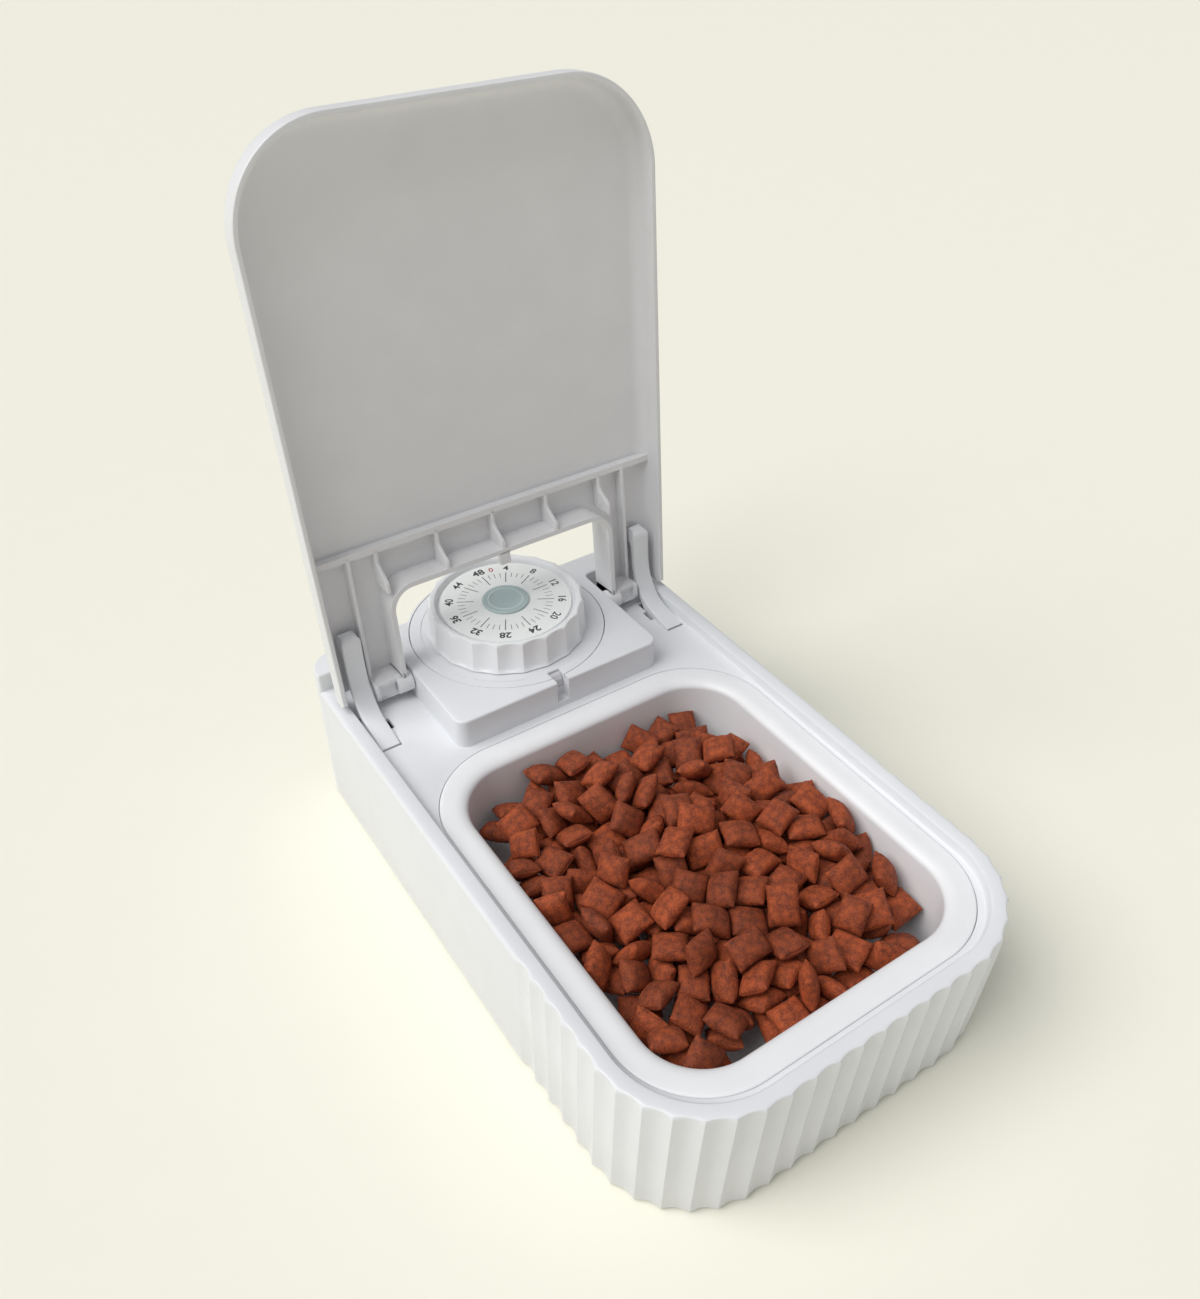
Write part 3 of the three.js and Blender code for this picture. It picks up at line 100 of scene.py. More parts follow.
# ---- camera ---------------------------------------------------------------------------------

def make_camera():
    data = bpy.data.cameras.new("camera")
    camera = bpy.data.objects.new("camera", data)
    bpy.context.scene.collection.objects.link(camera)
    yaw, pitch, roll = math.radians(34.591), math.radians(37.478), math.radians(-0.434)
    forward = Vector((math.sin(yaw) * math.cos(pitch), math.cos(yaw) * math.cos(pitch), -math.sin(pitch)))
    level = forward.cross(Vector((0, 0, 1))).normalized()
    down = forward.cross(level)
    right = math.cos(roll) * level + math.sin(roll) * down
    below = -math.sin(roll) * level + math.cos(roll) * down
    turn = Matrix((right, -below, -forward)).transposed()
    camera.matrix_world = Matrix.Translation(at(-207.3, -139.8, 358.7)) @ turn.to_4x4()
    data.lens = 32.74
    data.shift_x = -0.0162
    data.shift_y = -0.0239
    bpy.context.scene.camera = camera


# ---- mesh tools -----------------------------------------------------------------------------

def finish_mesh(name, mesh, material, body, sharp=32):
    for polygon in mesh.polygons:
        polygon.use_smooth = True
    work = bmesh.new()
    work.from_mesh(mesh)
    bmesh.ops.recalc_face_normals(work, faces=work.faces)
    for edge in work.edges:
        if len(edge.link_faces) == 2:
            edge.smooth = edge.calc_face_angle(0) < math.radians(sharp)
    work.to_mesh(mesh)
    work.free()
    piece = bpy.data.objects.new(name, mesh)
    bpy.context.scene.collection.objects.link(piece)
    mesh.materials.append(material)
    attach(piece, body)
    return piece


def mesh_from(name, points, faces):
    mesh = bpy.data.meshes.new(name)
    mesh.from_pydata([at(*p) for p in points], [], faces)
    mesh.validate()
    return mesh


def loft(rings, closed=False):
    """Points and faces of a skin through rings with equal point counts."""
    count = len(rings[0])
    points = [tuple(p) for ring in rings for p in ring]
    faces = []
    last = len(rings) if closed else len(rings) - 1
    for i in range(last):
        a, b = i * count, ((i + 1) % len(rings)) * count
        for j in range(count):
            k = (j + 1) % count
            faces.append((a + j, a + k, b + k, b + j))
    if not closed:
        faces.append(tuple(reversed(range(count))))
        faces.append(tuple(range((len(rings) - 1) * count, len(rings) * count)))
    return points, faces


def turned(profile, sides=128):
    """A skin turned about the dial's axis; the profile lists (radius, height) pairs."""
    rings = []
    for radius, height in profile:
        ring = []
        for i in range(sides):
            angle = 2 * math.pi * i / sides
            ring.append((radius * math.cos(angle), DIAL_Y + radius * math.sin(angle), height))
        rings.append(ring)
    return loft(rings)


def arc(x, y, radius, start, end, steps):
    return [(x + radius * math.cos(start + (end - start) * i / steps),
             y + radius * math.sin(start + (end - start) * i / steps)) for i in range(steps + 1)]


def rounded(half_width, front, rear, front_radius, rear_radius, steps=14):
    quarter = math.pi / 2
    front_x, front_y = half_width - front_radius, front + front_radius
    rear_x, rear_y = half_width - rear_radius, rear - rear_radius
    return (arc(front_x, front_y, front_radius, -quarter, 0, steps)
            + arc(rear_x, rear_y, rear_radius, 0, quarter, steps)
            + arc(-rear_x, rear_y, rear_radius, quarter, 2 * quarter, steps)
            + arc(-front_x, front_y, front_radius, 2 * quarter, 3 * quarter, steps))


def fillet(inset, height, radius, steps):
    """Insets and heights of a rounded edge that ends radius further in and radius higher."""
    rows = []
    for i in range(steps + 1):
        angle = math.pi / 2 * i / steps
        rows.append((inset + radius * (1 - math.cos(angle)), height + radius * math.sin(angle)))
    return rows


def clean(outline, least=0.02):
    kept = [outline[0]]
    for point in outline[1:]:
        if math.dist(point, kept[-1]) > least:
            kept.append(point)
    if math.dist(kept[0], kept[-1]) < least:
        kept.pop()
    return kept


def prism(name, outline, low, high, material, body, axis="z", edge=0.6, both=True,
          place=None, holes=(), steps=3):
    """A plate of an outline, with its long edges rounded. axis says which way its thickness runs."""
    work = bmesh.new()
    loops = [[Vector((px, py, low)) for px, py in clean(points)] for points in (outline, *holes)]
    verts = [work.verts.new(point) for points in loops for point in points]
    if holes:
        for triangle in tessellate_polygon(loops):
            work.faces.new([verts[i] for i in triangle])
    else:
        work.faces.new(verts)
    bottom = list(work.faces)
    made = bmesh.ops.extrude_face_region(work, geom=bottom)["geom"]
    top = [g for g in made if isinstance(g, bmesh.types.BMVert)]
    for vert in top:
        vert.co.z = high
    bmesh.ops.recalc_face_normals(work, faces=work.faces)
    if edge:
        chosen = []
        for line in work.edges:
            zs = {round(v.co.z, 5) for v in line.verts}
            flat = len(zs) == 1
            rim = len(line.link_faces) == 2 and line.calc_face_angle(0) > 1.2
            if flat and rim and (both or zs == {round(high, 5)}):
                chosen.append(line)
        bmesh.ops.bevel(work, geom=chosen, offset=edge, segments=steps, profile=0.5, affect="EDGES",
                        clamp_overlap=True)
    mesh = bpy.data.meshes.new(name)
    for vert in work.verts:
        x, y, z = vert.co
        if axis == "x":
            x, y, z = z, x, y
        elif axis == "y":
            x, y, z = x, z, y
        if place is not None:
            x, y, z = place(x, y, z)
        vert.co = at(x, y, z)
    work.to_mesh(mesh)
    work.free()
    return finish_mesh(name, mesh, material, body)


def on_lid(x, back, up):
    """Lid coordinates (across, depth behind its opening, height along it) in the drawing frame."""
    p = LID_TURN @ Vector((x, back, up))
    return p.x, p.y + LID_FOOT_Y, p.z


# ---- materials ------------------------------------------------------------------------------

def node(tree, kind, **values):
    made = tree.nodes.new(kind)
    for key, value in values.items():
        if hasattr(made, key):
            setattr(made, key, value)
        else:
            made.inputs[key.replace("_", " ")].default_value = value
    return made


def plastic(name, color, roughness=0.42, grain=0.02, variation=0.03, grain_scale=2600.0, metallic=0.0,
            coat=0.0):
    """Moulded plastic: faint cloudy colour change, fine grain in the bump and uneven gloss."""
    material = bpy.data.materials.new(name)
    material.use_nodes = True
    tree = material.node_tree
    shader = tree.nodes["Principled BSDF"]
    where = node(tree, "ShaderNodeTexCoord")
    cloud = node(tree, "ShaderNodeTexNoise", Scale=38.0, Detail=3.0, Roughness=0.55)
    ramp = node(tree, "ShaderNodeValToRGB")
    dark = [c * (1 - variation) for c in color]
    ramp.color_ramp.elements[0].position = 0.35
    ramp.color_ramp.elements[0].color = (*dark, 1)
    ramp.color_ramp.elements[1].position = 0.65
    ramp.color_ramp.elements[1].color = (*color, 1)
    fine = node(tree, "ShaderNodeTexNoise", Scale=grain_scale, Detail=2.0, Roughness=0.6)
    bump = node(tree, "ShaderNodeBump", Strength=grain * 4, Distance=0.00005)
    gloss = node(tree, "ShaderNodeMapRange")
    gloss.inputs["To Min"].default_value = roughness - 0.05
    gloss.inputs["To Max"].default_value = roughness + 0.07
    link = tree.links.new
    link(where.outputs["Object"], cloud.inputs["Vector"])
    link(where.outputs["Object"], fine.inputs["Vector"])
    link(cloud.outputs["Fac"], ramp.inputs["Fac"])
    link(ramp.outputs["Color"], shader.inputs["Base Color"])
    link(fine.outputs["Fac"], bump.inputs["Height"])
    link(bump.outputs["Normal"], shader.inputs["Normal"])
    link(fine.outputs["Fac"], gloss.inputs["Value"])
    link(gloss.outputs["Result"], shader.inputs["Roughness"])
    shader.inputs["Metallic"].default_value = metallic
    shader.inputs["Coat Weight"].default_value = coat
    return material


def kibble_material():
    material = bpy.data.materials.new("kibble")
    material.use_nodes = True
    tree = material.node_tree
    shader = tree.nodes["Principled BSDF"]
    where = node(tree, "ShaderNodeTexCoord")
    info = node(tree, "ShaderNodeObjectInfo")
    crumbs = node(tree, "ShaderNodeTexNoise", Scale=1500.0, Detail=4.0, Roughness=0.65)
    patches = node(tree, "ShaderNodeTexNoise", Scale=330.0, Detail=3.0, Roughness=0.6)
    ramp = node(tree, "ShaderNodeValToRGB")
    ramp.color_ramp.elements[0].position = 0.36
    ramp.color_ramp.elements[0].color = (0.115, 0.019, 0.005, 1)
    ramp.color_ramp.elements[1].position = 0.66
    ramp.color_ramp.elements[1].color = (0.49, 0.093, 0.021, 1)
    shade = node(tree, "ShaderNodeHueSaturation")
    each = node(tree, "ShaderNodeMapRange")
    each.inputs["To Min"].default_value = 0.75
    each.inputs["To Max"].default_value = 1.2
    mixed = node(tree, "ShaderNodeMath", operation="ADD")
    half = node(tree, "ShaderNodeMath", operation="MULTIPLY")
    half.inputs[1].default_value = 0.5
    bump = node(tree, "ShaderNodeBump", Strength=0.8, Distance=0.0006)
    link = tree.links.new
    link(where.outputs["Object"], crumbs.inputs["Vector"])
    link(where.outputs["Object"], patches.inputs["Vector"])
    link(crumbs.outputs["Fac"], mixed.inputs[0])
    link(patches.outputs["Fac"], mixed.inputs[1])
    link(mixed.outputs[0], half.inputs[0])
    link(half.outputs[0], ramp.inputs["Fac"])
    link(info.outputs["Random"], each.inputs["Value"])
    link(ramp.outputs["Color"], shade.inputs["Color"])
    link(each.outputs["Result"], shade.inputs["Value"])
    link(shade.outputs["Color"], shader.inputs["Base Color"])
    link(crumbs.outputs["Fac"], bump.inputs["Height"])
    link(bump.outputs["Normal"], shader.inputs["Normal"])
    shader.inputs["Roughness"].default_value = 0.72
    return material


WHITE = plastic("white_abs", (0.80, 0.81, 0.83), 0.42)
LID_WHITE = plastic("lid_abs", (0.80, 0.80, 0.81), 0.46)
BOWL_WHITE = plastic("bowl_pp", (0.86, 0.865, 0.875), 0.36)
KNOB_WHITE = plastic("knob_abs", (0.91, 0.92, 0.935), 0.38)
FACE_WHITE = plastic("face_print", (0.94, 0.955, 0.94), 0.5)
INK = plastic("ink", (0.06, 0.065, 0.07), 0.6)
RED_INK = plastic("red_ink", (0.45, 0.04, 0.05), 0.6)
HUB_GREY = plastic("hub_cap", (0.48, 0.585, 0.585), 0.34, coat=0.2)
# A paler copy of the hub cap's grey-green: a painted highlight on the cap's thin raised ring.
HUB_RING_PAINTED_HIGHLIGHT = plastic("hub_ring", (0.62, 0.72, 0.71), 0.36)
CATCH_GREY = plastic("catch", (0.62, 0.62, 0.64), 0.5)
NYLON = plastic("nylon", (0.76, 0.73, 0.63), 0.45)
CASE = plastic("case", (0.66, 0.67, 0.68), 0.5)
STEEL = plastic("steel", (0.55, 0.56, 0.58), 0.3, metallic=1.0, grain_scale=900.0)
RUBBER = plastic("rubber", (0.055, 0.056, 0.06), 0.8, grain=0.1)
BOARD = plastic("board", (0.02, 0.13, 0.06), 0.4)
WRAP = plastic("battery_wrap", (0.05, 0.06, 0.075), 0.3)

SLOT_LOOKS = {
    "white_shell": WHITE, "bowl_white": BOWL_WHITE, "knob_white": KNOB_WHITE, "dial_face": FACE_WHITE,
    "hub_grey": HUB_GREY, "catch_grey": CATCH_GREY, "gear_nylon": NYLON, "case_grey": CASE, "steel": STEEL,
    "foot_rubber": RUBBER, "circuit_board": BOARD, "battery_wrap": WRAP,
}


def dress_frame():
    for part in frame["record"]["subparts"]:
        mesh = frame["nodes"][part["node"]].data
        mesh.materials.clear()
        mesh.materials.append(SLOT_LOOKS[part["material_slot"]])


# ---- body -----------------------------------------------------------------------------------

def front_run(distance):
    """Point and outward direction at a distance round the fluted stretch, from the left side."""
    straight = FLUTE_END_Y - FRONT_RADIUS
    quarter = FRONT_RADIUS * math.pi / 2
    corner = BODY_HALF_WIDTH - FRONT_RADIUS
    left = distance
    if left <= straight:
        return -BODY_HALF_WIDTH, FLUTE_END_Y - left, -1.0, 0.0
    left -= straight
    for centre, start, before in ((-corner, math.pi, 2 * corner), (corner, 1.5 * math.pi, 0)):
        if left <= quarter:
            angle = start + left / FRONT_RADIUS
            nx, ny = math.cos(angle), math.sin(angle)
            return centre + FRONT_RADIUS * nx, FRONT_RADIUS * (1 + ny), nx, ny
        left -= quarter
        if before and left <= before:
            return left - corner, 0.0, 0.0, -1.0
        left -= before
    return BODY_HALF_WIDTH, FRONT_RADIUS + left, 1.0, 0.0


def body_run():
    """The body's outline as (x, y, outward x, outward y, flute depth share)."""
    length = 2 * (FLUTE_END_Y - FRONT_RADIUS) + math.pi * FRONT_RADIUS + 2 * (BODY_HALF_WIDTH - FRONT_RADIUS)
    total = FLUTE_COUNT * FLUTE_STEPS
    rows = []
    for i in range(total + 1):
        share = math.sin(math.pi * (i % FLUTE_STEPS) / FLUTE_STEPS)
        rows.append((*front_run(length * i / total), share))
    corner = BODY_HALF_WIDTH - REAR_RADIUS
    bulge_steps, corner_steps = 40, 10
    for sign, start in ((1, 0), (-1, math.pi / 2)):
        if sign < 0:
            lean = math.asin((REAR_Y - DIAL_Y) / BULGE_RADIUS)
            for i in range(bulge_steps + 1):
                angle = lean + (math.pi - 2 * lean) * i / bulge_steps
                nx, ny = math.cos(angle), math.sin(angle)
                rows.append((BULGE_RADIUS * nx, DIAL_Y + BULGE_RADIUS * ny, nx, ny, 0))
        for i in range(corner_steps + 1):
            angle = start + math.pi / 2 * i / corner_steps
            nx, ny = math.cos(angle), math.sin(angle)
            rows.append((sign * corner + REAR_RADIUS * nx, REAR_Y - REAR_RADIUS * (1 - ny), nx, ny, 0))
    return rows


def body_ring(run, inset, z, flute):
    ring = []
    down = max(0.0, (RIM_HEIGHT - z) / (RIM_HEIGHT + BODY_HEIGHT))
    for x, y, nx, ny, share in run:
        depth = inset + SHELL_INSET + FLUTE_DEPTH * flute * share
        py = y - ny * depth
        lean = FRONT_SETBACK * down * max(0.0, 1 - py / FLUTE_END_Y)
        ring.append((x - nx * depth, py + lean, z))
    return ring


# The fluted shell from its foot, up the outside, over the rim and down to the deck: inset from
# the outline, height and share of the flutes' depth.
SHELL_ROWS = (
    (3.0, -BODY_HEIGHT, 0.0), (0.9, -BODY_HEIGHT, 1.0), (0.3, -BODY_HEIGHT + 0.3, 1.0),
    (0.0, -BODY_HEIGHT + 1.0, 1.0), (0.0, -20.0, 1.0), (0.0, 2.6, 1.0),
    (0.05, 3.4, 0.95), (0.25, 4.2, 0.8), (0.7, 4.85, 0.55), (1.3, 5.12, 0.35),
    (2.0, RIM_HEIGHT, 0.15), (3.0, RIM_HEIGHT, 0.0), (6.2, RIM_HEIGHT, 0.0),
    (6.75, 5.0, 0.0), (7.1, 4.6, 0.0), (7.25, 4.0, 0.0), (7.5, 1.2, 0.0),
    (7.75, 0.5, 0.0), (8.2, 0.1, 0.0), (8.8, 0.0, 0.0), (8.8, -1.5, 0.0), (3.0, -2.5, 0.0),
)


def body_shell():
    run = body_run()
    rings = [body_ring(run, inset, z, flute) for inset, z, flute in SHELL_ROWS]
    points, faces = loft(rings, closed=True)
    mesh = mesh_from("body_shell", points, faces)
    piece = finish_mesh("body_shell", mesh, WHITE, "housing", 28)
    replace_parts(piece, "top_housing")


def raised_outline():
    """Plateau, rear block and the bulge behind the dial as one outline."""
    corner = PLATEAU_HALF_WIDTH - PLATEAU_RADIUS
    side = BODY_HALF_WIDTH - BOX_PLAY
    rear = REAR_Y - BOX_PLAY
    bulge = BULGE_RADIUS - BOX_PLAY
    lean = math.asin((rear - DIAL_Y) / bulge)
    turn = math.pi / 2
    block_edge = 1.4
    inner = 3.0
    right = arc(corner, PLATEAU_FRONT_Y + PLATEAU_RADIUS, PLATEAU_RADIUS, -turn, 0, 10)
    right += arc(PLATEAU_HALF_WIDTH + inner, REAR_BLOCK_Y - inner, inner, math.pi, turn, 6)
    right += arc(side - block_edge, REAR_BLOCK_Y + block_edge, block_edge, -turn, 0, 6)
    right += arc(side - REAR_RADIUS, rear - REAR_RADIUS, REAR_RADIUS, 0, turn, 14)
    right += arc(0, DIAL_Y, bulge, lean, turn, 26)
    return right + [(-x, y) for x, y in reversed(right)][1:]


def plain_cutter(name, outline, low, high):
    points, faces = loft([[(x, y, z) for x, y in outline] for z in (low, high)])
    return solid_object(name, points, faces, lambda x, y, z: (x, y, z))


def box_outline(half_width, front, rear):
    return [(-half_width, front), (half_width, front), (half_width, rear), (-half_width, rear)]


def circle(radius, steps):
    return arc(0, DIAL_Y, radius, 0, 2 * math.pi, steps)[:-1]


def raised_block():
    """The raised part of the shell: hollow below, with the dial plate's recess and the tab's notch."""
    block = prism("raised_block", raised_outline(), -BODY_HEIGHT + 0.3, RAISED_TOP, WHITE, "housing",
                  edge=1.0, both=False, steps=4)
    above, below, front = 20, -BODY_HEIGHT - 2, 200
    recess_floor, notch_floor, step_floor, step_rear = 11.4, 7.8, 3.0, 210.6
    wall, split, chamfer = 2.0, REAR_BLOCK_Y + 1.8, 8
    side, back = BODY_HALF_WIDTH - wall, REAR_Y - wall
    half = NOTCH_HALF_WIDTH
    rear_room = [(-side, split - 0.3), (side, split - 0.3), (side, back - chamfer),
                 (side - chamfer - 2, back), (chamfer + 2 - side, back), (-side, back - chamfer)]
    tools = [
        plain_cutter("recess", circle(PLATE_RADIUS + 0.4, 180), recess_floor, above),
        plain_cutter("notch", box_outline(half, front, 222), notch_floor, above),
        plain_cutter("step", box_outline(half, front, step_rear), step_floor, 8.5),
        plain_cutter("under_deck", box_outline(60, front, split), below, -1.5),
        plain_cutter("rear_hollow", rear_room, below + 0.5, RAISED_TOP - wall),
        plain_cutter("timer_hollow", circle(PLATE_RADIUS - 3, 120), below - 0.5, 12),
    ]
    copy = bpy.data.objects.new("raised_block_raw", block.data)
    bpy.context.scene.collection.objects.link(copy)
    mesh = subtract(copy, tools)
    mesh.materials.clear()
    bpy.data.objects.remove(block)
    finish_mesh("raised_block", mesh, WHITE, "housing")


def slot_outline(side):
    """An arm's slot with a small pocket on each side for the ends of its hub."""
    inner, outer = ARM_INNER_X - SLOT_PLAY, ARM_OUTER_X + SLOT_PLAY
    front, rear = SLOT_LUG_FRONT_Y, SLOT_LUG_REAR_Y
    points = [(inner, SLOT_FRONT_Y), (outer, SLOT_FRONT_Y), (outer, front), (outer + SLOT_LUG_OUTER, front),
              (outer + SLOT_LUG_OUTER, rear), (outer, rear), (outer, SLOT_REAR_Y), (inner, SLOT_REAR_Y),
              (inner, rear), (inner - SLOT_LUG_INNER, rear), (inner - SLOT_LUG_INNER, front), (inner, front)]
    return [(side * x, y) for x, y in points]


def deck():
    inset, gap = 7.6, 0.26
    outline = rounded(BODY_HALF_WIDTH - inset, inset, REAR_BLOCK_Y + 4, FRONT_RADIUS - inset, 2)
    bowl_hole = rounded(BOWL_HALF_WIDTH + gap, BOWL_FRONT_Y - gap, BOWL_REAR_Y + gap, BOWL_RADIUS + gap,
                        BOWL_RADIUS + gap, 24)
    prism("deck", outline, -2.2, 0.0, WHITE, "housing", edge=0.18, both=False,
          holes=[bowl_hole, slot_outline(1), slot_outline(-1)], steps=2)


def bowl_well():
    wide = LIP_WIDTH - 4
    rows = [(-0.25, -2.2), (wide, -2.2), (wide, WELL_FLOOR + 3), (wide + 3, WELL_FLOOR)]
    outside = [(wide + 3, WELL_FLOOR - 2), (wide - 2, WELL_FLOOR), (wide - 2, -4.0), (-0.25, -4.0)]
    rings = [bowl_ring(inset, z) for inset, z in rows]
    points, faces = loft(rings + [bowl_ring(inset, z) for inset, z in outside], closed=True)
    finish_mesh("bowl_well", mesh_from("bowl_well", points, faces), WHITE, "housing")
    floor = [(x, y) for x, y, z in bowl_ring(wide + 2.5, 0)]
    prism("well_floor", floor, WELL_FLOOR - 2, WELL_FLOOR, WHITE, "housing", edge=0)


# ---- bowl -----------------------------------------------------------------------------------

def bowl_ring(inset, z, steps=20):
    points = rounded(BOWL_HALF_WIDTH - inset, BOWL_FRONT_Y + inset, BOWL_REAR_Y - inset,
                     max(BOWL_RADIUS - inset, 2), max(BOWL_RADIUS - inset, 2), steps)
    return [(x, y, z) for x, y in points]


def bowl():
    outer = LIP_WIDTH - 2.2
    draft = outer + BOWL_DRAFT
    rows = [(draft + 6, BOWL_BOTTOM), (draft + 1, BOWL_BOTTOM + 1.5), (draft - 0.4, BOWL_BOTTOM + 6),
            (outer, LIP_BOTTOM), (0.6, LIP_BOTTOM), (0.0, LIP_BOTTOM + 0.5)]
    rows += [(0.0, -0.35), (0.12, 0.0), (0.4, 0.25), (1.2, 0.42), (2.6, 0.5), (6.2, 0.5)]
    roll, roll_start, roll_steps = 3.4, 6.2, 8
    for i in range(1, roll_steps + 1):
        angle = math.pi / 2 * i / roll_steps
        height = LIP_TOP - roll * (1 - math.cos(angle))
        rows.append((roll_start + (LIP_WIDTH - 5.6) * math.sin(angle), height))
    rows.append((LIP_WIDTH + 1.2, -10.0))
    depth = -BOWL_BOTTOM - 2.2
    base = LIP_WIDTH + BOWL_DRAFT - 0.6
    corner, corner_steps = 9, 7
    for i in range(corner_steps + 1):
        angle = math.pi / 2 * i / corner_steps
        rows.append((base + corner * (1 - math.cos(angle)), -depth + corner * (1 - math.sin(angle))))
    rings = [bowl_ring(inset, z) for inset, z in rows]
    points, faces = loft(rings)
    mesh = mesh_from("bowl_dish", points, faces)
    piece = finish_mesh("bowl_dish", mesh, BOWL_WHITE, "bowl", 40)
    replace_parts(piece, "bowl")


# ---- lid ------------------------------------------------------------------------------------

HINGE_BACK = (HINGE_Y - LID_FOOT_Y) * math.cos(LID_LEAN) - HINGE_Z * math.sin(LID_LEAN)
HINGE_UP = (HINGE_Y - LID_FOOT_Y) * math.sin(LID_LEAN) + HINGE_Z * math.cos(LID_LEAN)


def lid_ring(inset, back, low=-30.0):
    centre_x, centre_z = LID_HALF_WIDTH_HIGH - LID_RADIUS, LID_LENGTH - LID_RADIUS
    slope = (LID_HALF_WIDTH_HIGH - LID_HALF_WIDTH_LOW) / centre_z
    radius = LID_RADIUS - inset
    low_x = LID_HALF_WIDTH_LOW - inset + slope * low
    outline = [(-low_x, low), (low_x, low)]
    outline += arc(centre_x, centre_z, radius, 0, math.pi / 2, 24)
    outline += arc(-centre_x, centre_z, radius, math.pi / 2, math.pi, 24)
    return [(x, back, z) for x, z in outline]


def solid_object(name, points, faces, place):
    mesh = bpy.data.meshes.new(name)
    mesh.from_pydata([at(*place(*p)) for p in points], [], faces)
    work = bmesh.new()
    work.from_mesh(mesh)
    bmesh.ops.recalc_face_normals(work, faces=work.faces)
    work.to_mesh(mesh)
    work.free()
    made = bpy.data.objects.new(name, mesh)
    bpy.context.scene.collection.objects.link(made)
    return made


def subtract(target, tools):
    for tool in tools:
        cutter = target.modifiers.new("cut", "BOOLEAN")
        cutter.operation = "DIFFERENCE"
        cutter.solver = "EXACT"
        cutter.object = tool
    graph = bpy.context.evaluated_depsgraph_get()
    result = bpy.data.meshes.new_from_object(target.evaluated_get(graph))
    for item in [target, *tools]:
        bpy.data.objects.remove(item)
    return result


def lid_prism(name, outline, back0, back1, edge=0.5, both=False):
    """A rib or wall drawn face on, in x and height along the lid."""
    return prism(name, outline, back0, back1, LID_WHITE, "lid", axis="y", edge=edge,
                 both=both, place=on_lid)


def lid_side_prism(name, outline, x0, x1, edge=0.35):
    """A rib or wall drawn from the side, in depth and height along the lid."""
    return prism(name, outline, x0, x1, LID_WHITE, "lid", axis="x", edge=edge, both=True,
                 place=on_lid)


def foot_outline(back, up, radius, low):
    """Side view of what is cut away below the lid: all but a round front corner and the back."""
    front, deep, below = -3.0, LID_DEPTH + 3, -40.0
    drop = up - low
    meet = back + math.sqrt(max(0.0, radius ** 2 - drop ** 2))
    points = [(front, below), (deep, below), (deep, low), (meet, low)]
    points += arc(back, up, radius, -math.asin(min(1.0, drop / radius)), -math.pi, 24)[1:]
    points.append((front, up))
    return points


def cutter(name, outline, x0, x1):
    rings = [[(x, y, z) for y, z in outline] for x in (x0, x1)]
    points, faces = loft(rings)
    return solid_object(name, points, faces, on_lid)


def cutout_outline(half_width, top, radius, low):
    outline = [(-half_width, low), (half_width, low)]
    outline += arc(half_width - radius, top - radius, radius, 0, math.pi / 2, 14)
    outline += arc(radius - half_width, top - radius, radius, math.pi / 2, math.pi, 14)
    return outline


def lid_rings():
    """Rings of the lid's skin from its inside round the open edge to its outside."""
    low, inner_low = -26.3, -26.0
    edge = [(1.15, 0.0), (0.35, 0.15), (0.0, 0.7)]
    outside = edge + fillet(0.0, LID_DEPTH - LID_FILLET, LID_FILLET, 8)
    inner_fillet = LID_FILLET - LID_WALL
    inside = fillet(LID_WALL, LID_DEPTH - LID_WALL - inner_fillet, inner_fillet, 8)
    outer_rings = [lid_ring(inset, back) for inset, back in outside]
    inner_rings = [lid_ring(inset, back, inner_low) for inset, back in reversed(inside)]
    inner_rings += [lid_ring(LID_WALL, 0.7, inner_low), lid_ring(LID_WALL - 0.3, 0.15, low)]
    return list(reversed(outer_rings)) + list(reversed(inner_rings))


def lid_shell():
    points, faces = loft(lid_rings())
    shell = solid_object("lid_shell_raw", points, faces, on_lid)
    play, below = 0.4, -60
    opening = cutout_outline(CUTOUT_HALF_WIDTH + play, CUTOUT_TOP + play, CUTOUT_RADIUS, below)
    hole = [[(x, back, z) for x, z in opening] for back in (-3, LID_DEPTH + 3)]
    hole_points, hole_faces = loft(hole)
    leg_side, far_side = CHANNEL_RIB_X + RIB_WIDTH / 2, 99
    leg_foot = foot_outline(LEG_CORNER, LEG_BOTTOM + LEG_CORNER, LEG_CORNER, LEG_BOTTOM)
    wall_foot = foot_outline(WALL_TIP_RADIUS, WALL_TIP_Z, WALL_TIP_RADIUS, WALL_BOTTOM)
    tools = [solid_object("hole", hole_points, hole_faces, on_lid),
             cutter("leg_cut", leg_foot, -leg_side, leg_side)]
    for side in (-1, 1):
        tools.append(cutter("wall_cut", wall_foot, side * leg_side, side * far_side))
    mesh = subtract(shell, tools)
    mesh.materials.clear()
    piece = finish_mesh("lid_shell", mesh, LID_WHITE, "lid", 30)
    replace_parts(piece, "lid")


def surround_outline():
    """The wall round the lid's cut-out, drawn up one side of it and back down inside."""
    outer, radius = CUTOUT_HALF_WIDTH + CUTOUT_WALL, CUTOUT_RADIUS + CUTOUT_WALL
    x, z, turn = CUTOUT_HALF_WIDTH - CUTOUT_RADIUS, CUTOUT_TOP - CUTOUT_RADIUS, math.pi / 2
    outline = [(outer, HINGE_UP)]
    outline += arc(x, z, radius, 0, turn, 14) + arc(-x, z, radius, turn, math.pi, 14)
    outline += [(-outer, HINGE_UP), (-CUTOUT_HALF_WIDTH, HINGE_UP)]
    outline += arc(-x, z, CUTOUT_RADIUS, math.pi, turn, 14) + arc(x, z, CUTOUT_RADIUS, turn, 0, 14)
    return outline + [(CUTOUT_HALF_WIDTH, HINGE_UP)]


def leg_side_outline(front, top):
    """Side view of a leg's wall: its lower front corner is rounded."""
    points = [(front, top)]
    for y, z in arc(LEG_CORNER, LEG_BOTTOM + LEG_CORNER, LEG_CORNER, math.pi, 1.5 * math.pi, 12):
        points.append((max(y, front), z))
    return points + [(LID_DEPTH - 0.1, LEG_BOTTOM), (LID_DEPTH - 0.1, top)]


